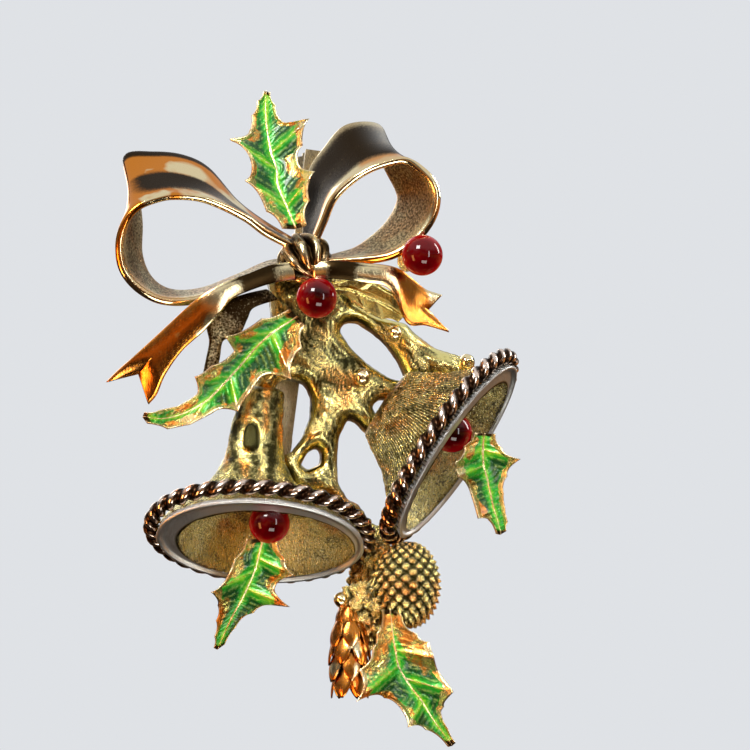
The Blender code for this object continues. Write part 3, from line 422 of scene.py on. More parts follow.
def gold(name, pale, orange, painted_dark, polish, coarse, pit_depth, sparkle=1.0):
    """Plated casting with light and shade painted into its colour: pale where it is raised and lit, dark in
    painted shade and painted dark reflections, and orange in warm patches. Its roughness is polish where it
    is smooth, and coarse is added where it has grain.

    Each mesh paints its light and shade (shade: painted highlights on raised parts, painted shade in hollows
    and painted reflections), warm patches (warm, a painted orange reflection on the ribbons), rough parts
    (grain), grey parts (grey) and engraved lines (line, in millimetres across them).
    """
    made = Wiring(name)
    shade, warm, grain, grey, line = map(made.painted, ("shade", "warm", "grain", "grey", "line"))
    drift = made.noise(0.32)
    speckle = made.noise(PITS_PER_MM, 4.0, 0.68)
    glint = made.noise(2.2 * PITS_PER_MM, 2.0, 0.6)
    fibre = made.noise(2.2, 3.0, 0.6, (2.2, 1.0, 0.35))
    turns = made.times(line, 2 * math.pi / HATCH_PITCH)
    hatch = made.add("Math", {0: turns}, operation="SINE").outputs[0]

    # Painted light and shade (shade, speckled where grainy) picks pale or painted dark; warm adds orange.
    orange_share = made.times(warm, made.spread(made.sum(drift, made.times(warm, 0.07)), 0.44, 0.60))
    mottle = made.times(made.sum(speckle, -0.5), made.spread(grain, 0.0, 1.0, 0.5, 1.9 * sparkle))
    painted_light = made.spread(made.sum(shade, mottle), 0.08, 0.80)
    colour = made.mix(painted_light, painted_dark, made.mix(orange_share, pale, orange))
    # Painted glints on lit grainy parts.
    flash = made.times(made.spread(glint, 0.56, 0.66), made.times(grain, painted_light))
    colour = made.mix(made.times(flash, 0.8 * sparkle), colour, GLINT_COLOUR)
    colour = made.mix(grey, colour, GREY_TONE)
    # Painted shade in the engraved lines.
    colour = made.mix(made.times(made.spread(hatch, 0.1, 0.8), 0.8), colour, painted_dark)

    roughness = made.sum(polish, made.times(grain, coarse))
    roughness = made.sum(roughness, made.times(grey, 0.24))
    roughness = made.sum(roughness, made.times(made.sum(fibre, -0.5), 0.20))
    roughness = made.sum(roughness, made.spread(painted_light, 0.0, 1.0, 0.14, 0.0))

    relief = made.bump(speckle, pit_depth, made.spread(grain, 0.0, 1.0, 0.10, 1.0))
    relief = made.bump(fibre, pit_depth * 1.3, made.spread(grain, 0.0, 1.0, 0.10, 0.8), relief)
    relief = made.bump(hatch, HATCH_DEPTH, 1.0, relief)
    return made.surface(Base_Color=colour, Metallic=1.0, Roughness=roughness, Normal=relief)


def enamel():
    """Green glass over gold. Each mesh paints how deep it lies (deep), its fine ridges (streak) and where the
    gold shows through (bare)."""
    made = Wiring("green_enamel")
    deep = made.painted("deep")
    bare = made.painted("bare")
    cloud = made.noise(0.7, 3.0, 0.6)
    speckle = made.noise(3.4, 3.0, 0.65)
    reach = made.sum(deep, made.times(made.sum(cloud, -0.5), 1.5))
    green = made.mix(made.spread(reach, 0.0, 0.45), ENAMEL_THIN, ENAMEL_MIDDLE)
    green = made.mix(made.spread(reach, 0.45, 1.15), green, ENAMEL_DEEP)
    ridges = made.times(made.painted("streak"), made.spread(speckle, 0.42, 0.60))
    green = made.mix(made.times(ridges, 0.45), green, ENAMEL_RIDGE)
    metal = made.mix(made.spread(cloud, 0.40, 0.56), BARE_PALE, BARE_ORANGE)
    shown = made.spread(made.sum(bare, made.times(made.sum(speckle, -0.5), 0.8)), 0.30, 0.62)
    waves = made.bump(made.sum(speckle, made.times(made.painted("streak"), 0.6)), 0.10, 0.7)
    return made.surface(
        Base_Color=made.mix(shown, green, metal),
        Metallic=made.spread(shown, 0.0, 1.0, 0.25, 0.95),
        Roughness=made.spread(cloud, 0.3, 0.7, 0.20, 0.34),
        Coat_Weight=0.25,
        Coat_Roughness=0.08,
        Normal=waves,
    )


def red_glass():
    """Red glass with light through it painted in: nearly black at its middle, glowing redder towards its
    outline.
    """
    made = Wiring("red_bead")
    cloud = made.noise(0.5)
    facing = made.add("LayerWeight", {"Blend": 0.35}).outputs["Facing"]
    core = made.mix(made.spread(cloud, 0.3, 0.7), GLASS_DARK, GLASS_RED)
    colour = made.mix(made.spread(facing, 0.05, 0.75), core, GLASS_GLOW)
    skin = made.bump(made.noise(0.9, 1.0), 0.03, 0.4)
    return made.surface(
        Base_Color=colour,
        Roughness=made.spread(cloud, 0.2, 0.8, 0.02, 0.07),
        IOR=1.40,
        Normal=skin,
    )


def pin_plating():
    """Plain plated sheet and wire, finely scratched."""
    made = Wiring("pin_metal")
    drift = made.noise(0.5, 3.0)
    scratch = made.noise(6.0, 3.0, 0.6, (3.0, 3.0, 0.25))
    colour = made.mix(made.spread(drift, 0.3, 0.7), PIN_DARK, PIN_PALE)
    return made.surface(
        Base_Color=colour,
        Metallic=1.0,
        Roughness=made.spread(scratch, 0.3, 0.7, 0.22, 0.40),
        Normal=made.bump(scratch, 0.02, 0.6),
    )


GOLDS = {
    "gold_bright": dict(
        pale=(0.92, 0.76, 0.44), orange=(0.74, 0.25, 0.03), painted_dark=(0.030, 0.017, 0.006),
        polish=0.11, coarse=0.24, pit_depth=0.05,
    ),
    "gold_grained": dict(
        pale=(0.92, 0.80, 0.30), orange=(0.86, 0.36, 0.06), painted_dark=(0.040, 0.036, 0.012),
        polish=0.15, coarse=0.10, pit_depth=0.34, sparkle=1.5,
    ),
    # Its pale is the colour of the painted highlights on the rope's strands.
    "gold_rope": dict(
        pale=(0.90, 0.72, 0.60), orange=(0.75, 0.28, 0.08), painted_dark=(0.030, 0.014, 0.007),
        polish=0.12, coarse=0.12, pit_depth=0.04, sparkle=0.3,
    ),
}  # fmt: skip
LOOKS = {name: gold(name, **look) for name, look in GOLDS.items()}
LOOKS.update(green_enamel=enamel(), red_bead=red_glass(), pin_metal=pin_plating())


# Shapes ------------


def curve_through(rows, steps):
    """A smooth curve through rows of points, with so many steps between two rows."""
    rows = np.asarray(rows, float)
    padded = np.concatenate([[2 * rows[0] - rows[1]], rows, [2 * rows[-1] - rows[-2]]])
    made = []
    for before, start, end, after in zip(padded, padded[1:], padded[2:], padded[3:]):
        for t in np.arange(steps) / steps:
            made.append(
                start
                + 0.5 * t * (end - before)
                + t**2 * (before - 2.5 * start + 2 * end - 0.5 * after)
                + t**3 * 0.5 * (after - before + 3 * (start - end))
            )
    made.append(rows[-1])
    return np.array(made)


def unit(vectors):
    """Each vector at length 1."""
    return vectors / np.maximum(np.linalg.norm(vectors, axis=-1, keepdims=True), 1e-9)


def turned(points, turn):
    """Points turned in the plane of the brooch."""
    return points @ np.array(Matrix.Rotation(turn, 3, "Y")).T


def circle_angles(count):
    """So many even angles round a circle."""
    return np.linspace(0, 2 * math.pi, count, endpoint=False)


def grid_normals(grid):
    return unit(np.cross(np.gradient(grid, axis=1), np.gradient(grid, axis=0)))


def held(values):
    """Values held between 0 and 1."""
    return np.clip(values, 0, 1)


def ridge(distance, width):
    """1 at no distance, and falling smoothly to nothing at about twice the width."""
    return np.exp(-((distance / width) ** 2))


def rough(points, per_mm, seed=0.0):
    """Smooth noise between about -1 and 1 at each point."""
    flat = np.asarray(points, float).reshape(-1, 3) * per_mm + seed
    return np.array([noise.noise(Vector(p)) for p in flat]).reshape(np.shape(points)[:-1])


def to_segments(flat, segments):
    """Distance from each (x, z) to the nearest of some segments."""
    nearest = np.full(flat.shape[:-1], 1e3)
    for start, end in segments:
        along = end - start
        share = held(((flat - start) @ along) / max(along @ along, 1e-9))
        nearest = np.minimum(nearest, np.linalg.norm(flat - start - share[..., None] * along, axis=-1))
    return nearest


def ladder(start, count):
    """Faces across a ring of an even count of points, in rungs, so that a bent ring is filled cleanly."""
    faces = []
    for j in range(count // 2):
        corners = (j, j + 1, (count - j - 1) % count, (count - j) % count)
        faces.append(tuple(start + corner for corner in dict.fromkeys(corners)))
    return faces


def loft_faces(rings, count, joined=False):
    """Quads between rings of so many points. The ends are capped, unless the last ring joins the first."""
    faces = []
    for i in range(rings if joined else rings - 1):
        low = i * count
        high = (i + 1) % rings * count
        for j in range(count):
            k = (j + 1) % count
            faces.append((low + j, low + k, high + k, high + j))
    if not joined:
        faces += ladder(0, count) + ladder((rings - 1) * count, count)
    return faces


def settled(points, node, ends="mmm"):
    """Moves points to the node's box: middle to middle (m), low (l) or high (h) side, on each axis."""
    low, high = (np.array(corner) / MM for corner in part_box(node))
    share = np.array([{"l": 0.0, "m": 0.5, "h": 1.0}[end] for end in ends])
    flat = points.reshape(-1, 3)
    own_low, own_high = flat.min(0), flat.max(0)
    return points + low + (high - low) * share - own_low - (own_high - own_low) * share


def show(node, slot, points, faces, paint):
    """Makes the piece that stands for a node of the part, and lets it ride on the node's body."""
    mesh = bpy.data.meshes.new(node + "_fine")
    mesh.from_pydata((np.asarray(points) * MM).tolist(), [], faces)
    for name, values in paint.items():
        layer = mesh.attributes.new(name, "FLOAT", "POINT")
        spread = np.broadcast_to(np.asarray(values, np.float32).reshape(-1), (len(mesh.vertices),))
        layer.data.foreach_set("value", np.ascontiguousarray(spread))
    bm = bmesh.new()
    bm.from_mesh(mesh)
    bmesh.ops.recalc_face_normals(bm, faces=bm.faces)
    bm.to_mesh(mesh)
    bm.free()
    mesh.polygons.foreach_set("use_smooth", [True] * len(mesh.polygons))
    mesh.materials.append(LOOKS[slot])
    made = bpy.data.objects.new(node + "_fine", mesh)
    bpy.context.scene.collection.objects.link(made)
    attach(made, BODY_OF[node])
    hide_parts(node)


def wrapped(front, back):
    """Rings that run across the front and return across the back, which share their ends."""
    return np.concatenate([front, back[:, -2:0:-1]], axis=1)


def show_rings(node, slot, rings, paint, joined=False):
    """Shows a piece that is lofted through rings of points."""
    show(node, slot, rings.reshape(-1, 3), loft_faces(*rings.shape[:2], joined), paint)


# Ribbons ------------


def edge_round(across, half):
    """Half thickness of a ribbon, from full in its middle to nothing at its edges."""
    return half * np.sqrt(held(1 - np.abs(2 * across - 1) ** 7))


def across_ribbon(count):
    """Shares from 0 to 1, closer together near both ends."""
    return (1 - np.cos(np.linspace(0, math.pi, count))) / 2


def strap(node, grid, front, back, paint, ends, is_loop=False):
    """A ribbon through a grid of points, so thick in front and behind. The front of a loop is its outside.

    Each painted field is given for the front and for the back.
    """
    normals = grid_normals(grid)
    if is_loop:
        away = grid - grid.reshape(-1, 3).mean(0)
        away[..., 1] = 0.0
        inverted = (normals * away).sum() < 0
    else:
        inverted = normals[..., 1].mean() > 0
    if inverted:
        normals = -normals
    rings = wrapped(grid + normals * front[..., None], grid - normals * back[..., None])
    painted = {}
    for name, sides in paint.items():
        painted[name] = wrapped(*(np.broadcast_to(side, grid.shape[:2]) for side in sides))
    show_rings(node, "gold_bright", settled(rings, node, ends), painted)


def bow_loop(node, rows, bands, glow_at, glare_strength, ends):
    """A loop of polished ribbon, hollow along its middle and with a lip at its front edge, frosted inside.

    The bands of light and dark on it are painted reflections. A loop with a strong glare also has a painted
    white glare near its top, and one without it a grey patch there, painted lighter, with a weaker painted
    sheen.
    """
    stations = curve_through(rows, RIBBON_STEPS)
    across = across_ribbon(25)[None, :]
    grid = stations[:, :1] * (1 - across)[..., None] + stations[:, 1:] * across[..., None]
    along = np.linspace(0, 1, len(grid))[:, None]
    swell = np.sin(math.pi * across)

    half = edge_round(across, 0.42)
    lip = 0.24 * ridge(across, 0.10) + 0.12 * ridge(1 - across, 0.06)
    wave = 0.10 * np.sin(along * 21.0 + 3.0 * across)
    front = np.maximum(half - 0.22 * swell + lip + wave * swell, 0.0)
    front[:, [0, -1]] = 0.0
    back = np.broadcast_to(half + 0.05 * ridge(across, 0.1), front.shape)

    # Painted reflections: bands, an orange glow, a white glare, a grey patch painted lighter and a sheen.
    band_shade, band_warm = (np.interp(across, *zip(*band)) for band in bands)
    glow = ridge(along - glow_at, 0.05) * held((0.92 - across) * 8)
    glare = glare_strength * ridge(along - 0.26, 0.045) * ridge(across - 0.68, 0.11)
    brushed = (1 - glare_strength) * ridge(along - 0.37, 0.035) * held((across - 0.25) * 3)
    drift = (0.06 + 0.24 * glare_strength) * np.sin(along * 9.0 + 1.0) * swell
    outside = band_shade + drift + glow + glare + 0.3 * brushed
    # Inside, painted highlights along both edges.
    inside = 0.35 + 0.6 * ridge(across, 0.12) + 0.3 * ridge(1 - across, 0.1)
    warm = 2.5 * ridge(along - glow_at, 0.16) + band_warm - 5.0 * glare
    paint = {
        "shade": (held(outside), held(inside)),
        "grain": (0.0, 1.0 - 0.8 * ridge(across, 0.1)),
        "warm": (np.clip(warm, 0, None), 0.45),
        "grey": (0.45 * brushed, 0.0),
    }
    strap(node, grid, front, back, paint, ends, is_loop=True)


def ribbon_end(node, rows, warm, grain, bend, bright, ends):
    """A ribbon with raised edges, its middle bent forward. Its rows fork its end."""
    depths = curve_through([row[:1] for row in rows], RIBBON_STEPS)
    edges = curve_through([row[1:] for row in rows], RIBBON_STEPS)
    part = across_ribbon(13) / 2
    across = np.concatenate([part, 0.5 + part[1:]])
    side = np.where(across < 0.5, 0, 1)
    within = (2 * across - side)[:, None]
    flat = edges[:, side] * (1 - within) + edges[:, side + 1] * within
    depth = depths - bend * np.sin(math.pi * across)
    grid = np.stack([flat[..., 0], depth, flat[..., 1]], axis=-1)
    along = np.linspace(0, 1, len(grid))[:, None]

    half = edge_round(across, 0.38)
    rim = 0.12 * (ridge(across, 0.08) + ridge(1 - across, 0.08))
    front = half + rim + 0.05 * np.sin(along * 16.0)
    front[:, [0, -1]] = 0.0
    back = np.broadcast_to(half, front.shape)

    # Painted light: a dark reflection near the knot, a painted shadow beside the upper rim, orange further
    # along.
    dark_reflection = held(1.5 * ridge(along - 0.19, 0.10))
    shaded_strip = 0.5 * ridge(across - 0.17, 0.05)
    paint = {
        "shade": (held(bright - shaded_strip - dark_reflection), 0.6),
        "grain": (grain, 1.0),
        "warm": (warm * np.clip((along - 0.38) * 9, 0, 2.5), 0.2),
    }
    strap(node, grid, front, back, paint, ends)


# Leaves ------------


def scalloped(rows):
    """Dense left edge, midrib and right edge. An edge bows in between a notch and a spike, as on holly."""
    rows = np.array(rows, float)
    middle = curve_through(rows[:, 1], LEAF_STEPS)
    sides = []
    for side in (0, 2):
        edge = []
        for now, later in zip(rows, rows[1:]):
            axis = unit(later[1] - now[1])
            nearer = np.linalg.norm(now[side] - now[1]) < np.linalg.norm(later[side] - later[1])
            notch, spike = (now[side], later[side]) if nearer else (later[side], now[side])
            bend = notch + axis * ((spike - notch) @ axis) * 0.7
            for t in np.arange(LEAF_STEPS) / LEAF_STEPS:
                edge.append((1 - t) ** 2 * now[side] + 2 * t * (1 - t) * bend + t**2 * later[side])
        edge.append(rows[-1, side])
        sides.append(np.array(edge))
    return sides[0], middle, sides[1]


def vein_lines(rows, middle, lead):
    """A line from the midrib out to each spike, leaving the midrib so many rows before it."""
    rows = np.array(rows, float)
    lines = []
    for side in (0, 2):
        reach = np.linalg.norm(rows[:, side] - rows[:, 1], axis=-1)
        for i in range(1, len(rows) - 1):
            if reach[i] >= reach[i - 1] * 0.98 and reach[i] >= reach[i + 1] * 0.98:
                foot = middle[max(int((i - lead) * LEAF_STEPS), 0)]
                lines.append((foot, rows[i, side] * 0.96 + foot * 0.04))
    return lines


class LeafForm:
    """Points over a leaf, with their distances from its midrib, veins, rim and spikes.

    Veins leave the midrib so many rows before their spike (lead), and stand forward by the lobes' height.
    """

    def __init__(self, rows, base_depth, tip_depth, lead, lobes):
        left, middle, right = scalloped(rows)
        share = np.linspace(-1, 1, 2 * LEAF_HALF_STEPS + 1)[None, :, None]
        away = np.abs(share)
        edge = np.where(share < 0, left[:, None], right[:, None])
        self.flat = middle[:, None] * (1 - away) + edge * away
        reach = np.linalg.norm(edge - middle[:, None], axis=-1)
        self.from_rim = (1 - away[..., 0]) * reach
        self.from_middle = away[..., 0] * reach
        veins = vein_lines(rows, middle, lead)
        self.from_vein = to_segments(self.flat, veins)
        self.from_tip = np.min([np.linalg.norm(self.flat - end, axis=-1) for _, end in veins], axis=0)
        self.along = np.linspace(0, 1, len(middle))[:, None]
        depth = base_depth + (tip_depth - base_depth) * self.along - LEAF_DISH * self.from_middle
        broad = held(reach / 3.0)
        self.narrow = np.clip(reach / 1.6, 0.35, 1)
        self.depth = depth - lobes * ridge(self.from_vein, 0.9) * away[..., 0] * broad
        self.bodied = np.broadcast_to(np.sqrt(held(1 - away[..., 0] ** 8)), self.depth.shape)

    def at(self, depth):
        return np.stack([self.flat[..., 0], depth, self.flat[..., 1]], axis=-1)

    def relief(self, middle, vein, rim):
        """Height of the raised midrib, veins and rim, each given as (height, width)."""
        heights = [
            middle[0] * ridge(self.from_middle, middle[1] * self.narrow),
            vein[0] * ridge(self.from_vein, vein[1]),
            rim[0] * ridge(self.from_rim, rim[1] * self.narrow),
        ]
        return np.maximum.reduce(heights)


def leaf_piece(node, form, relief, warm, grain, slot, ends):
    """A cast leaf with its relief in front and a frosted back. Returns how far it was moved into place."""
    front = form.at(form.depth - LEAF_FRONT * form.bodied - relief)
    back = form.at(form.depth + LEAF_BACK * form.bodied)
    rings = wrapped(front, back)
    lit = held(relief / 0.22) - 0.45 * held(rough(front, 0.55, 3.0) * 2.0)
    paint = {
        "shade": wrapped(held(lit), np.full(lit.shape, 0.55)),
        "grain": wrapped(np.full(lit.shape, grain), np.ones(lit.shape)),
        "warm": held(warm + 1.5 * rough(rings, 0.33, 8.0)),
    }
    placed = settled(rings, node, ends)
    show_rings(node, slot, placed, paint)
    return placed[0, 0] - rings[0, 0]


def enamel_piece(node, form, moved, bare_base):
    """The enamel between a leaf's ridges. It runs under them a little, and is worn off towards the base."""
    inner = (slice(2, -3), slice(1, -1))
    nearest = np.minimum(np.minimum(form.from_middle, form.from_rim), form.from_vein)
    streak = held(np.cos(form.from_vein * 11.0 + 1.5 * rough(form.at(form.depth), 0.8)))
    level = 0.13 + 0.10 * ridge(nearest, 0.3) + 0.05 * streak
    front = form.at(form.depth - LEAF_FRONT * form.bodied - level)[inner]
    back = form.at(form.depth + 0.1)[inner]
    rings = np.concatenate([front, back[:, ::-1]], axis=1)
    patches = rough(form.at(np.zeros(form.depth.shape)), 0.42, 5.0)
    near_rim = held(1.5 - form.from_rim / 1.2)
    bare = near_rim * np.clip(0.45 + patches * 2.4, 0, 1.2) - 0.6 * ridge(form.from_middle, 0.8)
    bare = held(bare + bare_base * held(1.2 - 2.2 * form.along))
    fields = {"deep": np.clip(nearest / 0.75, 0, 1.2), "streak": streak, "bare": bare}
    paint = {name: np.concatenate([values[inner]] * 2, axis=1) for name, values in fields.items()}
    show_rings(node, "green_enamel", rings + moved, paint)


def holly(place, rows, base_depth, tip_depth, ends, bare_base):
    """A leaf with a raised gold midrib, veins, rim and lobe ends, and enamel in the hollows between them."""
    form = LeafForm(rows, base_depth, tip_depth, lead=0.9, lobes=1.35)
    relief = form.relief((0.34, 0.16), (0.30, 0.14), (0.66, 0.46))
    relief = np.maximum(relief, 0.36 * held(1.5 - form.from_tip))
    moved = leaf_piece("holly_" + place, form, relief, 0.15, 0.7, "gold_bright", ends)
    enamel_piece("enamel_" + place, form, moved, bare_base)


def plain_leaf():
    form = LeafForm(PLAIN_LEAF, -5.0, -4.9, lead=0.7, lobes=0.1)
    relief = form.relief((0.30, 0.22), (0.16, 0.14), (0.34, 0.22))
    leaf_piece("plain_leaf", form, relief + 0.15, -0.6, 0.15, "gold_grained", "mlm")


# Bells ------------


def bell_ring(section, shrink=0.0, scale=1.0, deeper=0.0):
    """One ring of a bell in its own frame: sideways, back and along."""
    along, sideways, back, half_width, half_depth, tilt = section
    lean = math.radians(tilt)
    angle = circle_angles(BELL_POINTS)
    wide = (half_width - shrink) * scale * np.cos(angle)
    high = (half_depth - shrink) * scale * np.sin(angle)
    inward = np.array([0.0, math.sin(lean), math.cos(lean)]) * deeper
    ring = np.stack([sideways + wide, back + high * math.cos(lean), along - high * math.sin(lean)], axis=-1)
    return ring + inward


def bell_rings(sections, bowl, bowl_shift):
    """Rings over the crown, down the outside, round the edge of the mouth and into the bowl. Also the numbers
    of the first ring of the edge and of the bowl."""
    mouth, crown = sections[0], sections[-1]
    dome = [bell_ring(crown, scale=math.cos(a), deeper=0.6 * math.sin(a)) for a in (1.5, 1.2, 0.9, 0.6, 0.3)]
    outer = [bell_ring(section) for section in curve_through(sections, 14)[::-1]]
    edge = [bell_ring(mouth, shrink=shrink, deeper=deeper) for shrink, deeper in MOUTH_EDGE]
    bowls = [bell_ring(section) + [bowl_shift, 0.0, 0.0] for section in curve_through(bowl, 7)]
    lip = [edge[-1] * (1 - t) + bowls[0] * t for t in (0.25, 0.5, 0.75, 0.92)]
    edge_from = len(dome) + len(outer)
    return np.array(dome + outer + edge + lip + bowls), edge_from, edge_from + len(edge) + len(lip)


def arch(rings):
    """How deep the blind arch in the front of a neck lies, and how far its rim stands out, at each point."""
    across = (rings[..., 0] - ARCH_MIDDLE[0]) / ARCH_HALF_WIDTH
    up = (rings[..., 2] - ARCH_MIDDLE[1]) / ARCH_HALF_HEIGHT
    away = np.sqrt(across**2 + np.where(up < 0, np.clip(-up - 0.5, 0, None) * 2, up) ** 2)
    front = held(1.5 - np.clip(rings[..., 1] - 1.0, 0, None))
    return held((1.05 - away) * 4) * front, ridge(away - 1.25, 0.18) * front


def bell(node, sections, bowl, turn, engraved, bowl_shift):
    """A bell with a smooth grey lip and a frosted bowl. An engraved one has fine lines all over its outside,
    and a plain one has a blind arch and painted reflection stripes on its neck."""
    plain = 1.0 - engraved
    rings, edge_from, bowl_from = bell_rings(sections, bowl, bowl_shift)
    lip = slice(edge_from, bowl_from)
    in_bowl = slice(bowl_from + 2, None)
    dent, rim = arch(rings)
    on_plain = plain * (np.arange(len(rings)) < edge_from)[:, None]
    lumps = rough(rings, 0.9) * 0.12 + rough(rings, 2.6, 7.0) * 0.06
    lumps[in_bowl] += 0.10 * rough(rings[in_bowl], 4.0, 2.0)
    lumps[lip] = 0.0
    lumps += on_plain * (0.22 * rim - 0.55 * dent)
    rings = rings + grid_normals(rings) * lumps[..., None]

    neck = plain * held((rings[..., 2] - 5.0) / 2)
    reflection_stripe = np.cos(rings[..., 0] * 3.4 + 1.0)
    # Painted light and shade: a shadow in the arch, a highlight on its rim and reflection stripes on a plain
    # neck.
    shade = 0.58 - 0.08 * engraved + 0.3 * rough(rings, 0.5, 3.0) + 0.35 * rough(rings, 1.7, 5.0)
    shade += on_plain * (0.6 * rim - 1.6 * dent)
    shade[lip] = 0.6
    shade += neck * (0.22 * reflection_stripe - 0.22)
    # A painted shadow at the step into the bowl, painted light in the bowl and painted shade on its floor.
    shade[bowl_from - 1 : bowl_from + 1] = 0.1
    shade[in_bowl] += 0.14
    shade[-8:] -= 0.25
    grain = 1 - 0.7 * neck
    grain[lip] = 0.0
    grey = np.zeros(rings.shape[:2])
    grey[edge_from - 4 : bowl_from - 1] = 1.0
    grey[bowl_from + 1 :] = 0.12
    line = np.zeros(rings.shape[:2])
    mouth_half_width = sections[0][3]
    line[:edge_from] = engraved * mouth_half_width * np.cos(circle_angles(BELL_POINTS))
    # The neck's painted reflection stripes are orange where they are light.
    warm = rough(rings, 0.28, 11.0) * 1.8 + 0.7 * neck * reflection_stripe + 0.35 * engraved
    paint = {"shade": held(shade), "warm": held(warm), "grain": grain, "line": line, "grey": grey}
    show_rings(node, "gold_grained", settled(turned(rings, turn), node), paint)


def rope(node, mouth, turn, steps=10, round_steps=16):
    """Two strands twisted together and laid round the bell, a little above its mouth."""
    _, _, _, half_width, half_depth, tilt = mouth
    lean = math.radians(tilt)
    across = np.array([0.0, math.cos(lean), -math.sin(lean)])
    inward = np.array([0.0, math.sin(lean), math.cos(lean)])
    sideways = np.array([1.0, 0.0, 0.0])
    around = circle_angles(round_steps)
    rings, shade = [], []
    for i, angle in enumerate(circle_angles(ROPE_TWISTS * steps)):
        edge = sideways * half_width * math.cos(angle) + across * half_depth * math.sin(angle)
        outward = unit(sideways * half_depth * math.cos(angle) + across * half_width * math.sin(angle))
        strand = np.abs(np.cos(around - math.pi * i / steps))
        reach = (ROPE_RADIUS * (0.52 + 0.48 * strand**0.8))[:, None]
        centre = edge + outward * 0.45 + inward * 1.2
        rings.append(centre + reach * (outward * np.cos(around)[:, None] + inward * np.sin(around)[:, None]))
        # Painted highlights on the tops of the strands and painted shade between them.
        shade.append(held((strand - 0.70) * 3.0))
    rings = np.array(rings)
    warm = held(rough(rings, 0.22, 2.0) * 2.0 - (rings[..., 0] + half_width * 0.5) * 0.15)
    paint = {"shade": np.array(shade), "warm": warm, "grain": 0.15}
    placed = settled(turned(rings, turn), node) - 0.15 * turned(inward, turn)
    show_rings(node, "gold_rope", placed, paint, joined=True)


# Round pieces ------------


def sphere_rings(up, across):
    """Unit directions on a sphere from top to bottom, and their two angles."""
    fall = np.linspace(0.02, math.pi - 0.02, up)[:, None]
    angle = circle_angles(across)[None, :]
    rings = [np.sin(fall) * np.cos(angle), np.sin(fall) * np.sin(angle), np.cos(fall) * np.ones_like(angle)]
    return np.stack(rings, axis=-1), fall, angle


def box_middle(node):
    """The middle and half size of a node's box."""
    low, high = (np.array(corner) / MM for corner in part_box(node))
    return (low + high) / 2, (high - low) / 2


def knot():
    """The gathered ribbon round the bow's middle. Its folds run out from under the bead in front of it."""
    _, half = box_middle("bow_knot")
    rings, fall, _ = sphere_rings(90, 150)
    pinch = unit(np.array([0.35, -0.55, -0.75]))
    side = unit(np.cross(pinch, [0.0, 1.0, 0.0]))
    around = np.arctan2(rings @ np.cross(pinch, side), rings @ side)
    fold = np.abs(np.sin(around * 5.0 + 0.5 * np.cos(fall * 2) + 0.8 * rough(rings, 1.1, 2.0)))
    depth = (1 - fold) ** 1.3 * held(1.25 - np.abs(rings @ pinch))
    shape = rings * (1.0 - 0.34 * depth + 0.08 * rough(rings, 1.4, 3.0))[..., None] * [1.1, 1.0, 1.0]
    # Painted shade in the folds.
    paint = {
        "shade": held(0.55 - 1.5 * depth + 0.6 * rough(rings, 1.8)),
        "warm": held(rough(rings, 1.1) + 0.4),
        "grain": 0.2,
    }
    show_rings("bow_knot", "gold_bright", settled(shape * half, "bow_knot"), paint)


def bead(node):
    middle, half = box_middle(node)
    rings, _, _ = sphere_rings(40, 64)
    show_rings(node, "red_bead", rings * half + middle, {})


def berry(node, size, forward):
    """A cast ball with a dimple in its front, standing a little clear of what it is cast on."""
    middle, half = box_middle(node)
    middle = middle - [0.0, forward, 0.0]
    rings, _, _ = sphere_rings(28, 40)
    dimple = ridge(np.linalg.norm(rings - np.array([0.2, -0.95, -0.2]), axis=-1), 0.28)
    shape = rings * (size - 0.3 * dimple + 0.05 * rough(rings, 2.0))[..., None]
    # Painted shade in the dimple.
    paint = {"shade": held(1 - 0.7 * dimple), "warm": 0.0, "grain": 0.05}
    show_rings(node, "gold_bright", shape * half + middle, paint)


def peg(node, bead_node):
    """A post with a flared seat for its bead at one end and a fillet at the other."""
    middle, _ = box_middle(node)
    bead_middle, bead_half = box_middle(bead_node)
    half_length = np.linalg.norm(middle - bead_middle) - bead_half[0] - 0.1
    axis = unit(middle - bead_middle)
    side = unit(np.cross(axis, [0.31, 0.2, 0.93]))
    around = circle_angles(32)[:, None]
    circle = side * np.cos(around) + np.cross(axis, side) * np.sin(around)
    dense = curve_through(PEG_OUTLINE, 5)
    rings = np.array([middle + axis * at * half_length + circle * max(radius, 0.03) for at, radius in dense])
    paint = {"shade": 0.7, "warm": 0.2, "grain": 0.6}
    show_rings(node, "gold_grained", rings, paint)


def round_cone():
    """A pine cone of pointed scales set in crossing diagonals."""
    half = np.array([3.35, 3.1, 4.6])
    scales_around, scales_down = 13, 10.5
    rings, fall, angle = sphere_rings(150, 192)
    around = angle * scales_around / (2 * math.pi)
    down = fall * scales_down / math.pi
    first = np.abs(((around + down) % 1) * 2 - 1)
    second = np.abs(((around - down) % 1) * 2 - 1)
    tip = ((1 - first) * (1 - second)) ** 0.7
    shape = rings * half * (0.90 + 0.17 * tip * np.sin(fall) ** 0.5)[..., None]
    shape[..., 2] -= 0.30 * tip
    # Painted highlights on the scale tips and painted shade between the scales.
    paint = {
        "shade": held(tip * 1.5 - 0.10),
        "warm": held(0.45 + rough(rings, 1.6, 4.0)),
        "grain": 0.55,
    }
    show_rings("cone_round", "gold_grained", settled(shape, "cone_round", "lll"), paint)


def petal(base, out, length, half_width):
    """Rings of one long scale that springs from base, stands out and hangs down, and their painted light and
    shade.
    """
    drop = np.array([0.0, 0.0, -1.0])
    side = unit(np.cross(out, drop))
    around = circle_angles(12)
    keel = 1 + 0.5 * held(np.sin(around)) ** 3
    rings, shade = [], []
    for t in np.linspace(0, 1, 12):
        middle = base + out * (0.15 + 0.75 * math.sin(math.pi * 0.5 * t)) + drop * length * t
        wide = half_width * max(math.sin(math.pi * (0.18 + 0.8 * t)) ** 0.8, 0.05)
        thick = 0.24 * (1 - 0.7 * t)
        across, outward = wide * np.cos(around), thick * np.sin(around) * keel
        rings.append(middle + side * across[:, None] + out * outward[:, None])
        shade.append(held(0.12 + 0.5 * t + 0.4 * held(np.sin(around))))
    return np.array(rings), np.array(shade)


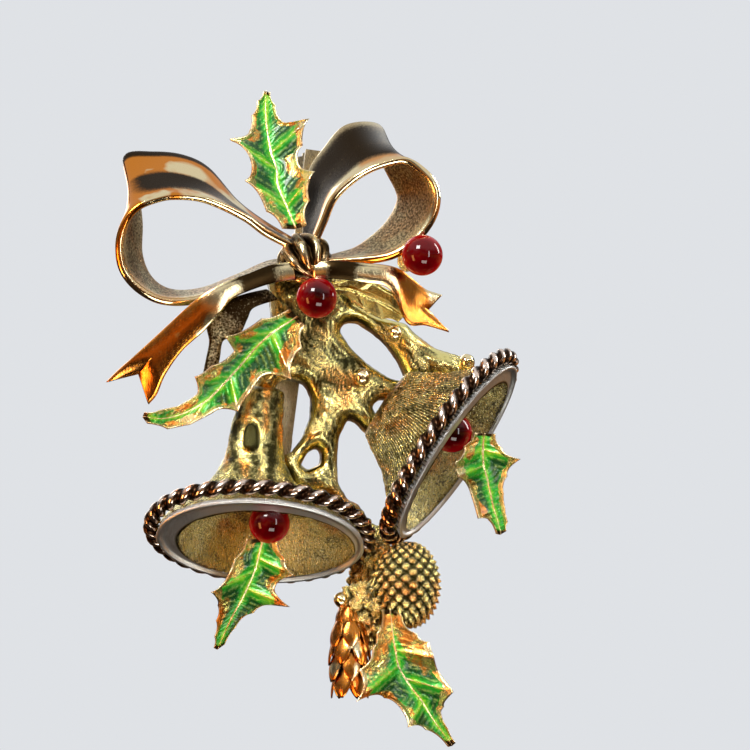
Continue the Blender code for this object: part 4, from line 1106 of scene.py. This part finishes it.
def long_cone():
    """A hanging cone of long overlapping scales round a core."""
    scale_rows, scales_per_row = 5, 6
    _, half = box_middle("cone_long")
    core, _, _ = sphere_rings(24, 36)
    # The core is painted in shade.
    pieces = [(core * half * 0.72, np.full(core.shape[:2], 0.1))]
    for row in range(scale_rows):
        height = 1 - 2 * (row + 0.3) / (scale_rows + 0.4)
        radius = math.sqrt(max(1 - height**2, 0.0)) * 0.60
        for k in range(scales_per_row):
            angle = 2 * math.pi * (k + 0.5 * (row % 2)) / scales_per_row
            out = unit(np.array([math.cos(angle), math.sin(angle), 0.25 - 0.15 * row]))
            base = np.array([math.cos(angle) * radius, math.sin(angle) * radius, height * 0.86]) * half
            pieces.append(petal(base, out, 2.9, 0.95))
    faces, start = [], 0
    for rings, _ in pieces:
        faces += [tuple(start + i for i in face) for face in loft_faces(*rings.shape[:2])]
        start += rings.shape[0] * rings.shape[1]
    points = settled(np.concatenate([rings.reshape(-1, 3) for rings, _ in pieces]), "cone_long")
    shade = np.concatenate([light.ravel() for _, light in pieces])
    warm = np.clip(1.9 + rough(points, 0.5, 6.0), 0, 3)
    show("cone_long", "gold_bright", points, faces, {"shade": shade, "warm": warm, "grain": 0.3})


# Castings taken from the part's own shape ------------


def refined(node, voxel):
    """Points, quads and normals of a node's shape, meshed again with small even faces."""
    copy = bpy.data.objects.new(node + "_again", frame["nodes"][node].data.copy())
    bpy.context.scene.collection.objects.link(copy)
    again = copy.modifiers.new("again", "REMESH")
    again.mode = "VOXEL"
    again.voxel_size = voxel * MM
    soft = copy.modifiers.new("soft", "SMOOTH")
    soft.iterations = 6
    soft.factor = 0.5
    bpy.context.view_layer.update()
    mesh = bpy.data.meshes.new_from_object(copy.evaluated_get(bpy.context.evaluated_depsgraph_get()))
    bpy.data.objects.remove(copy, do_unlink=True)
    points, normals = np.empty((2, len(mesh.vertices) * 3), np.float32)
    mesh.vertices.foreach_get("co", points)
    mesh.vertices.foreach_get("normal", normals)
    faces = [tuple(face.vertices) for face in mesh.polygons]
    return points.reshape(-1, 3).astype(float) / MM, normals.reshape(-1, 3).astype(float), faces


def twig_frame():
    """The flat frame, its front raised into rounded twigs that are brushed and grooved along their edges."""
    points, normals, faces = refined("twig_frame", 0.21)
    walls = np.flatnonzero(np.abs(normals[:, 1]) < 0.55)
    tree = kdtree.KDTree(len(walls))
    for i, wall in enumerate(walls):
        tree.insert(Vector((points[wall, 0], 0.0, points[wall, 2])), i)
    tree.balance()
    inset = np.array([tree.find(Vector((x, 0.0, z)))[2] for x, _, z in points])
    facing = held(-normals[:, 1])
    crown = 1 - (1 - held(inset / 1.5)) ** 2
    wander = rough(points, 0.7, 1.0)
    grooves = np.cos(inset * 14.0 + wander * 3.0)
    brushed = np.cos((points[:, 0] * 0.8 + points[:, 2] * 0.6) * 9.0 + wander * 6.0)
    lumps = rough(points, 0.45, 9.0)
    points[:, 1] -= facing * (0.85 * crown + (0.03 * grooves + 0.03 * brushed + 0.35 * lumps) * crown)
    points += normals * (0.05 * rough(points, 3.0, 5.0))[:, None]
    # Painted light: streaks along the grooves, brush marks and lumps, highlights near the edges, shaded side
    # walls.
    streaks = 0.14 * grooves + 0.19 * brushed + 0.5 * lumps
    shaded_sides = 0.7 * held(1 - facing * 1.6)
    paint = {
        "shade": held(0.42 + streaks + 0.9 * ridge(inset - 0.2, 0.2) - shaded_sides),
        "warm": held(rough(points, 0.25, 8.0) * 1.8),
        "grain": np.clip(0.2 + rough(points, 0.4, 12.0), 0.05, 1),
    }
    show("twig_frame", "gold_grained", points, faces, paint)


def gold_cluster():
    """A frosted mass of small crystals between the cones, drawn out downwards behind the bottom leaf."""
    points, normals, faces = refined("gold_cluster", 0.16)
    low, high = points.min(0), points.max(0)
    fall = (high - points)[:, 2] / (high - low)[2]
    points[:, 2] -= 3.4 * fall**2
    points[:, 0] += 0.5 * fall**2
    facets = np.abs(rough(points, 1.1, 2.0)) * 1.5 + np.abs(rough(points, 2.4, 4.0)) * 1.4
    points = points + normals * (0.55 * facets - 0.25)[:, None]
    # Painted highlights on raised facets and painted shade in the hollows between them.
    paint = {
        "shade": held(facets * 1.6 - 0.25),
        "warm": held(0.3 + rough(points, 0.4, 3.0)),
        "grain": 0.8,
    }
    show("gold_cluster", "gold_grained", points, faces, paint)


def pin_part(node):
    """A piece of the pin finding, kept as the part has it, with softened corners."""
    kept = frame["nodes"][node]
    kept.data.materials.clear()
    kept.data.materials.append(LOOKS["pin_metal"])
    edges = kept.modifiers.new("corners", "BEVEL")
    edges.width = 0.07 * MM
    edges.segments = 2
    edges.limit_method = "ANGLE"
    edges.angle_limit = math.radians(35)


# Stage ------------


def stand(data, name, place, back):
    """Puts a lamp or a camera at a place, looking against the direction back."""
    made = bpy.data.objects.new(name, data)
    made.location = place
    made.rotation_mode = "QUATERNION"
    made.rotation_quaternion = (-back).to_track_quat("-Z", "Y")
    bpy.context.scene.collection.objects.link(made)
    return made


def stage_floor(low):
    """A plain pale floor that glows a little, so that it is as bright as the backdrop from every side."""
    mesh = bpy.data.meshes.new("floor")
    bm = bmesh.new()
    bmesh.ops.create_circle(bm, cap_ends=True, segments=96, radius=3.0)
    bm.to_mesh(mesh)
    bm.free()
    floor = bpy.data.objects.new("floor", mesh)
    floor.location = (0.0, 0.0, low.z - FLOOR_BELOW * MM)
    made = Wiring("floor_paint")
    tone = made.mix(made.noise(0.004), *FLOOR_COLOURS)
    dim = made.mix(0.9, tone, (0.0, 0.0, 0.0))
    glow = {"Emission_Color": tone, "Emission_Strength": 0.80}
    mesh.materials.append(made.surface(Base_Color=dim, Roughness=1.0, Specular_IOR_Level=0.0, **glow))
    floor.visible_glossy = False
    floor.visible_shadow = False
    bpy.context.scene.collection.objects.link(floor)


def soft_light(name, middle, back, size, power, colour):
    """A rectangular lamp that stands off the middle by back, and faces it."""
    data = bpy.data.lights.new(name, "AREA")
    data.shape = "RECTANGLE"
    data.size, data.size_y = size
    data.energy = power
    data.color = colour
    stand(data, name, middle + Vector(back), Vector(back))


def studio_world():
    """A pale backdrop. Reflections see a room with a bright ceiling, a dim middle and a warm, dark floor."""
    world = bpy.data.worlds.new("studio")
    bpy.context.scene.world = world
    world.use_nodes = True
    tree = world.node_tree
    tree.nodes.clear()
    place = add_node(tree, "TexCoord", {}).outputs["Generated"]
    height = add_node(tree, "SeparateXYZ", {"Vector": place}).outputs["Z"]
    patches = add_node(tree, "TexNoise", {"Vector": place, "Scale": 2.2, "Detail": 2.0}).outputs["Fac"]
    swayed = add_node(tree, "Math", {0: patches, 1: 0.9}, operation="MULTIPLY").outputs[0]
    level = add_node(tree, "Math", {0: height, 1: swayed}, operation="ADD").outputs[0]
    ramp = add_node(tree, "ValToRGB", {"Fac": level})
    elements = ramp.color_ramp.elements
    while len(elements) < len(ROOM_COLOURS):
        elements.new(0.5)
    for element, (position, colour) in zip(elements, ROOM_COLOURS):
        element.position = position
        element.color = (*colour, 1.0)
    seen = add_node(tree, "LightPath", {}).outputs["Is Camera Ray"]
    room = add_node(tree, "Background", {"Color": ramp.outputs["Color"], "Strength": 1.0})
    pale = add_node(tree, "Background", {"Color": BACKDROP_COLOUR, "Strength": 1.0})
    both = add_node(tree, "MixShader", {0: seen, 1: room.outputs[0], 2: pale.outputs[0]})
    add_node(tree, "OutputWorld", {"Surface": both.outputs[0]})


def camera_at(target, azimuth, elevation, distance, span):
    """A camera with a long lens that takes in so wide a span at its target."""
    side, up = math.radians(azimuth), math.radians(elevation)
    back = Vector((math.sin(side) * math.cos(up), -math.cos(side) * math.cos(up), math.sin(up)))
    data = bpy.data.cameras.new("camera")
    data.sensor_width = 36.0
    data.lens = data.sensor_width * distance / span
    data.clip_start, data.clip_end = 0.01, 10.0
    bpy.context.scene.camera = stand(data, "camera", target + back * distance, back)


# Everything ------------

twig_frame()
gold_cluster()
round_cone()
long_cone()
for side, (sections, bowl, turn, engraved, bowl_shift) in BELLS.items():
    bell("bell_" + side, sections, bowl, turn, engraved, bowl_shift)
    rope("rope_rim_" + side, sections[0], turn)
knot()
for side, shape in LOOPS.items():
    bow_loop("bow_loop_" + side, *shape)
for place, shape in RIBBON_ENDS.items():
    ribbon_end("ribbon_" + place, *shape)
for place, shape in HOLLY.items():
    holly(place, *shape)
plain_leaf()
for place in BEADS:
    bead("bead_" + place)
    peg("peg_" + place, "bead_" + place)
for place, (size, forward) in BERRIES.items():
    berry("berry_" + place, size, forward)
for node in PIN_PARTS:
    pin_part(node)

low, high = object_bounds()
middle = (low + high) / 2
stage_floor(low)
studio_world()
for name, lamp in LAMPS.items():
    soft_light(name, middle, *lamp)
camera_at(middle + Vector(VIEW_SHIFT) * MM, *VIEW_ANGLES, VIEW_DISTANCE, VIEW_SPAN)

bpy.context.scene.view_settings.view_transform = "Standard"
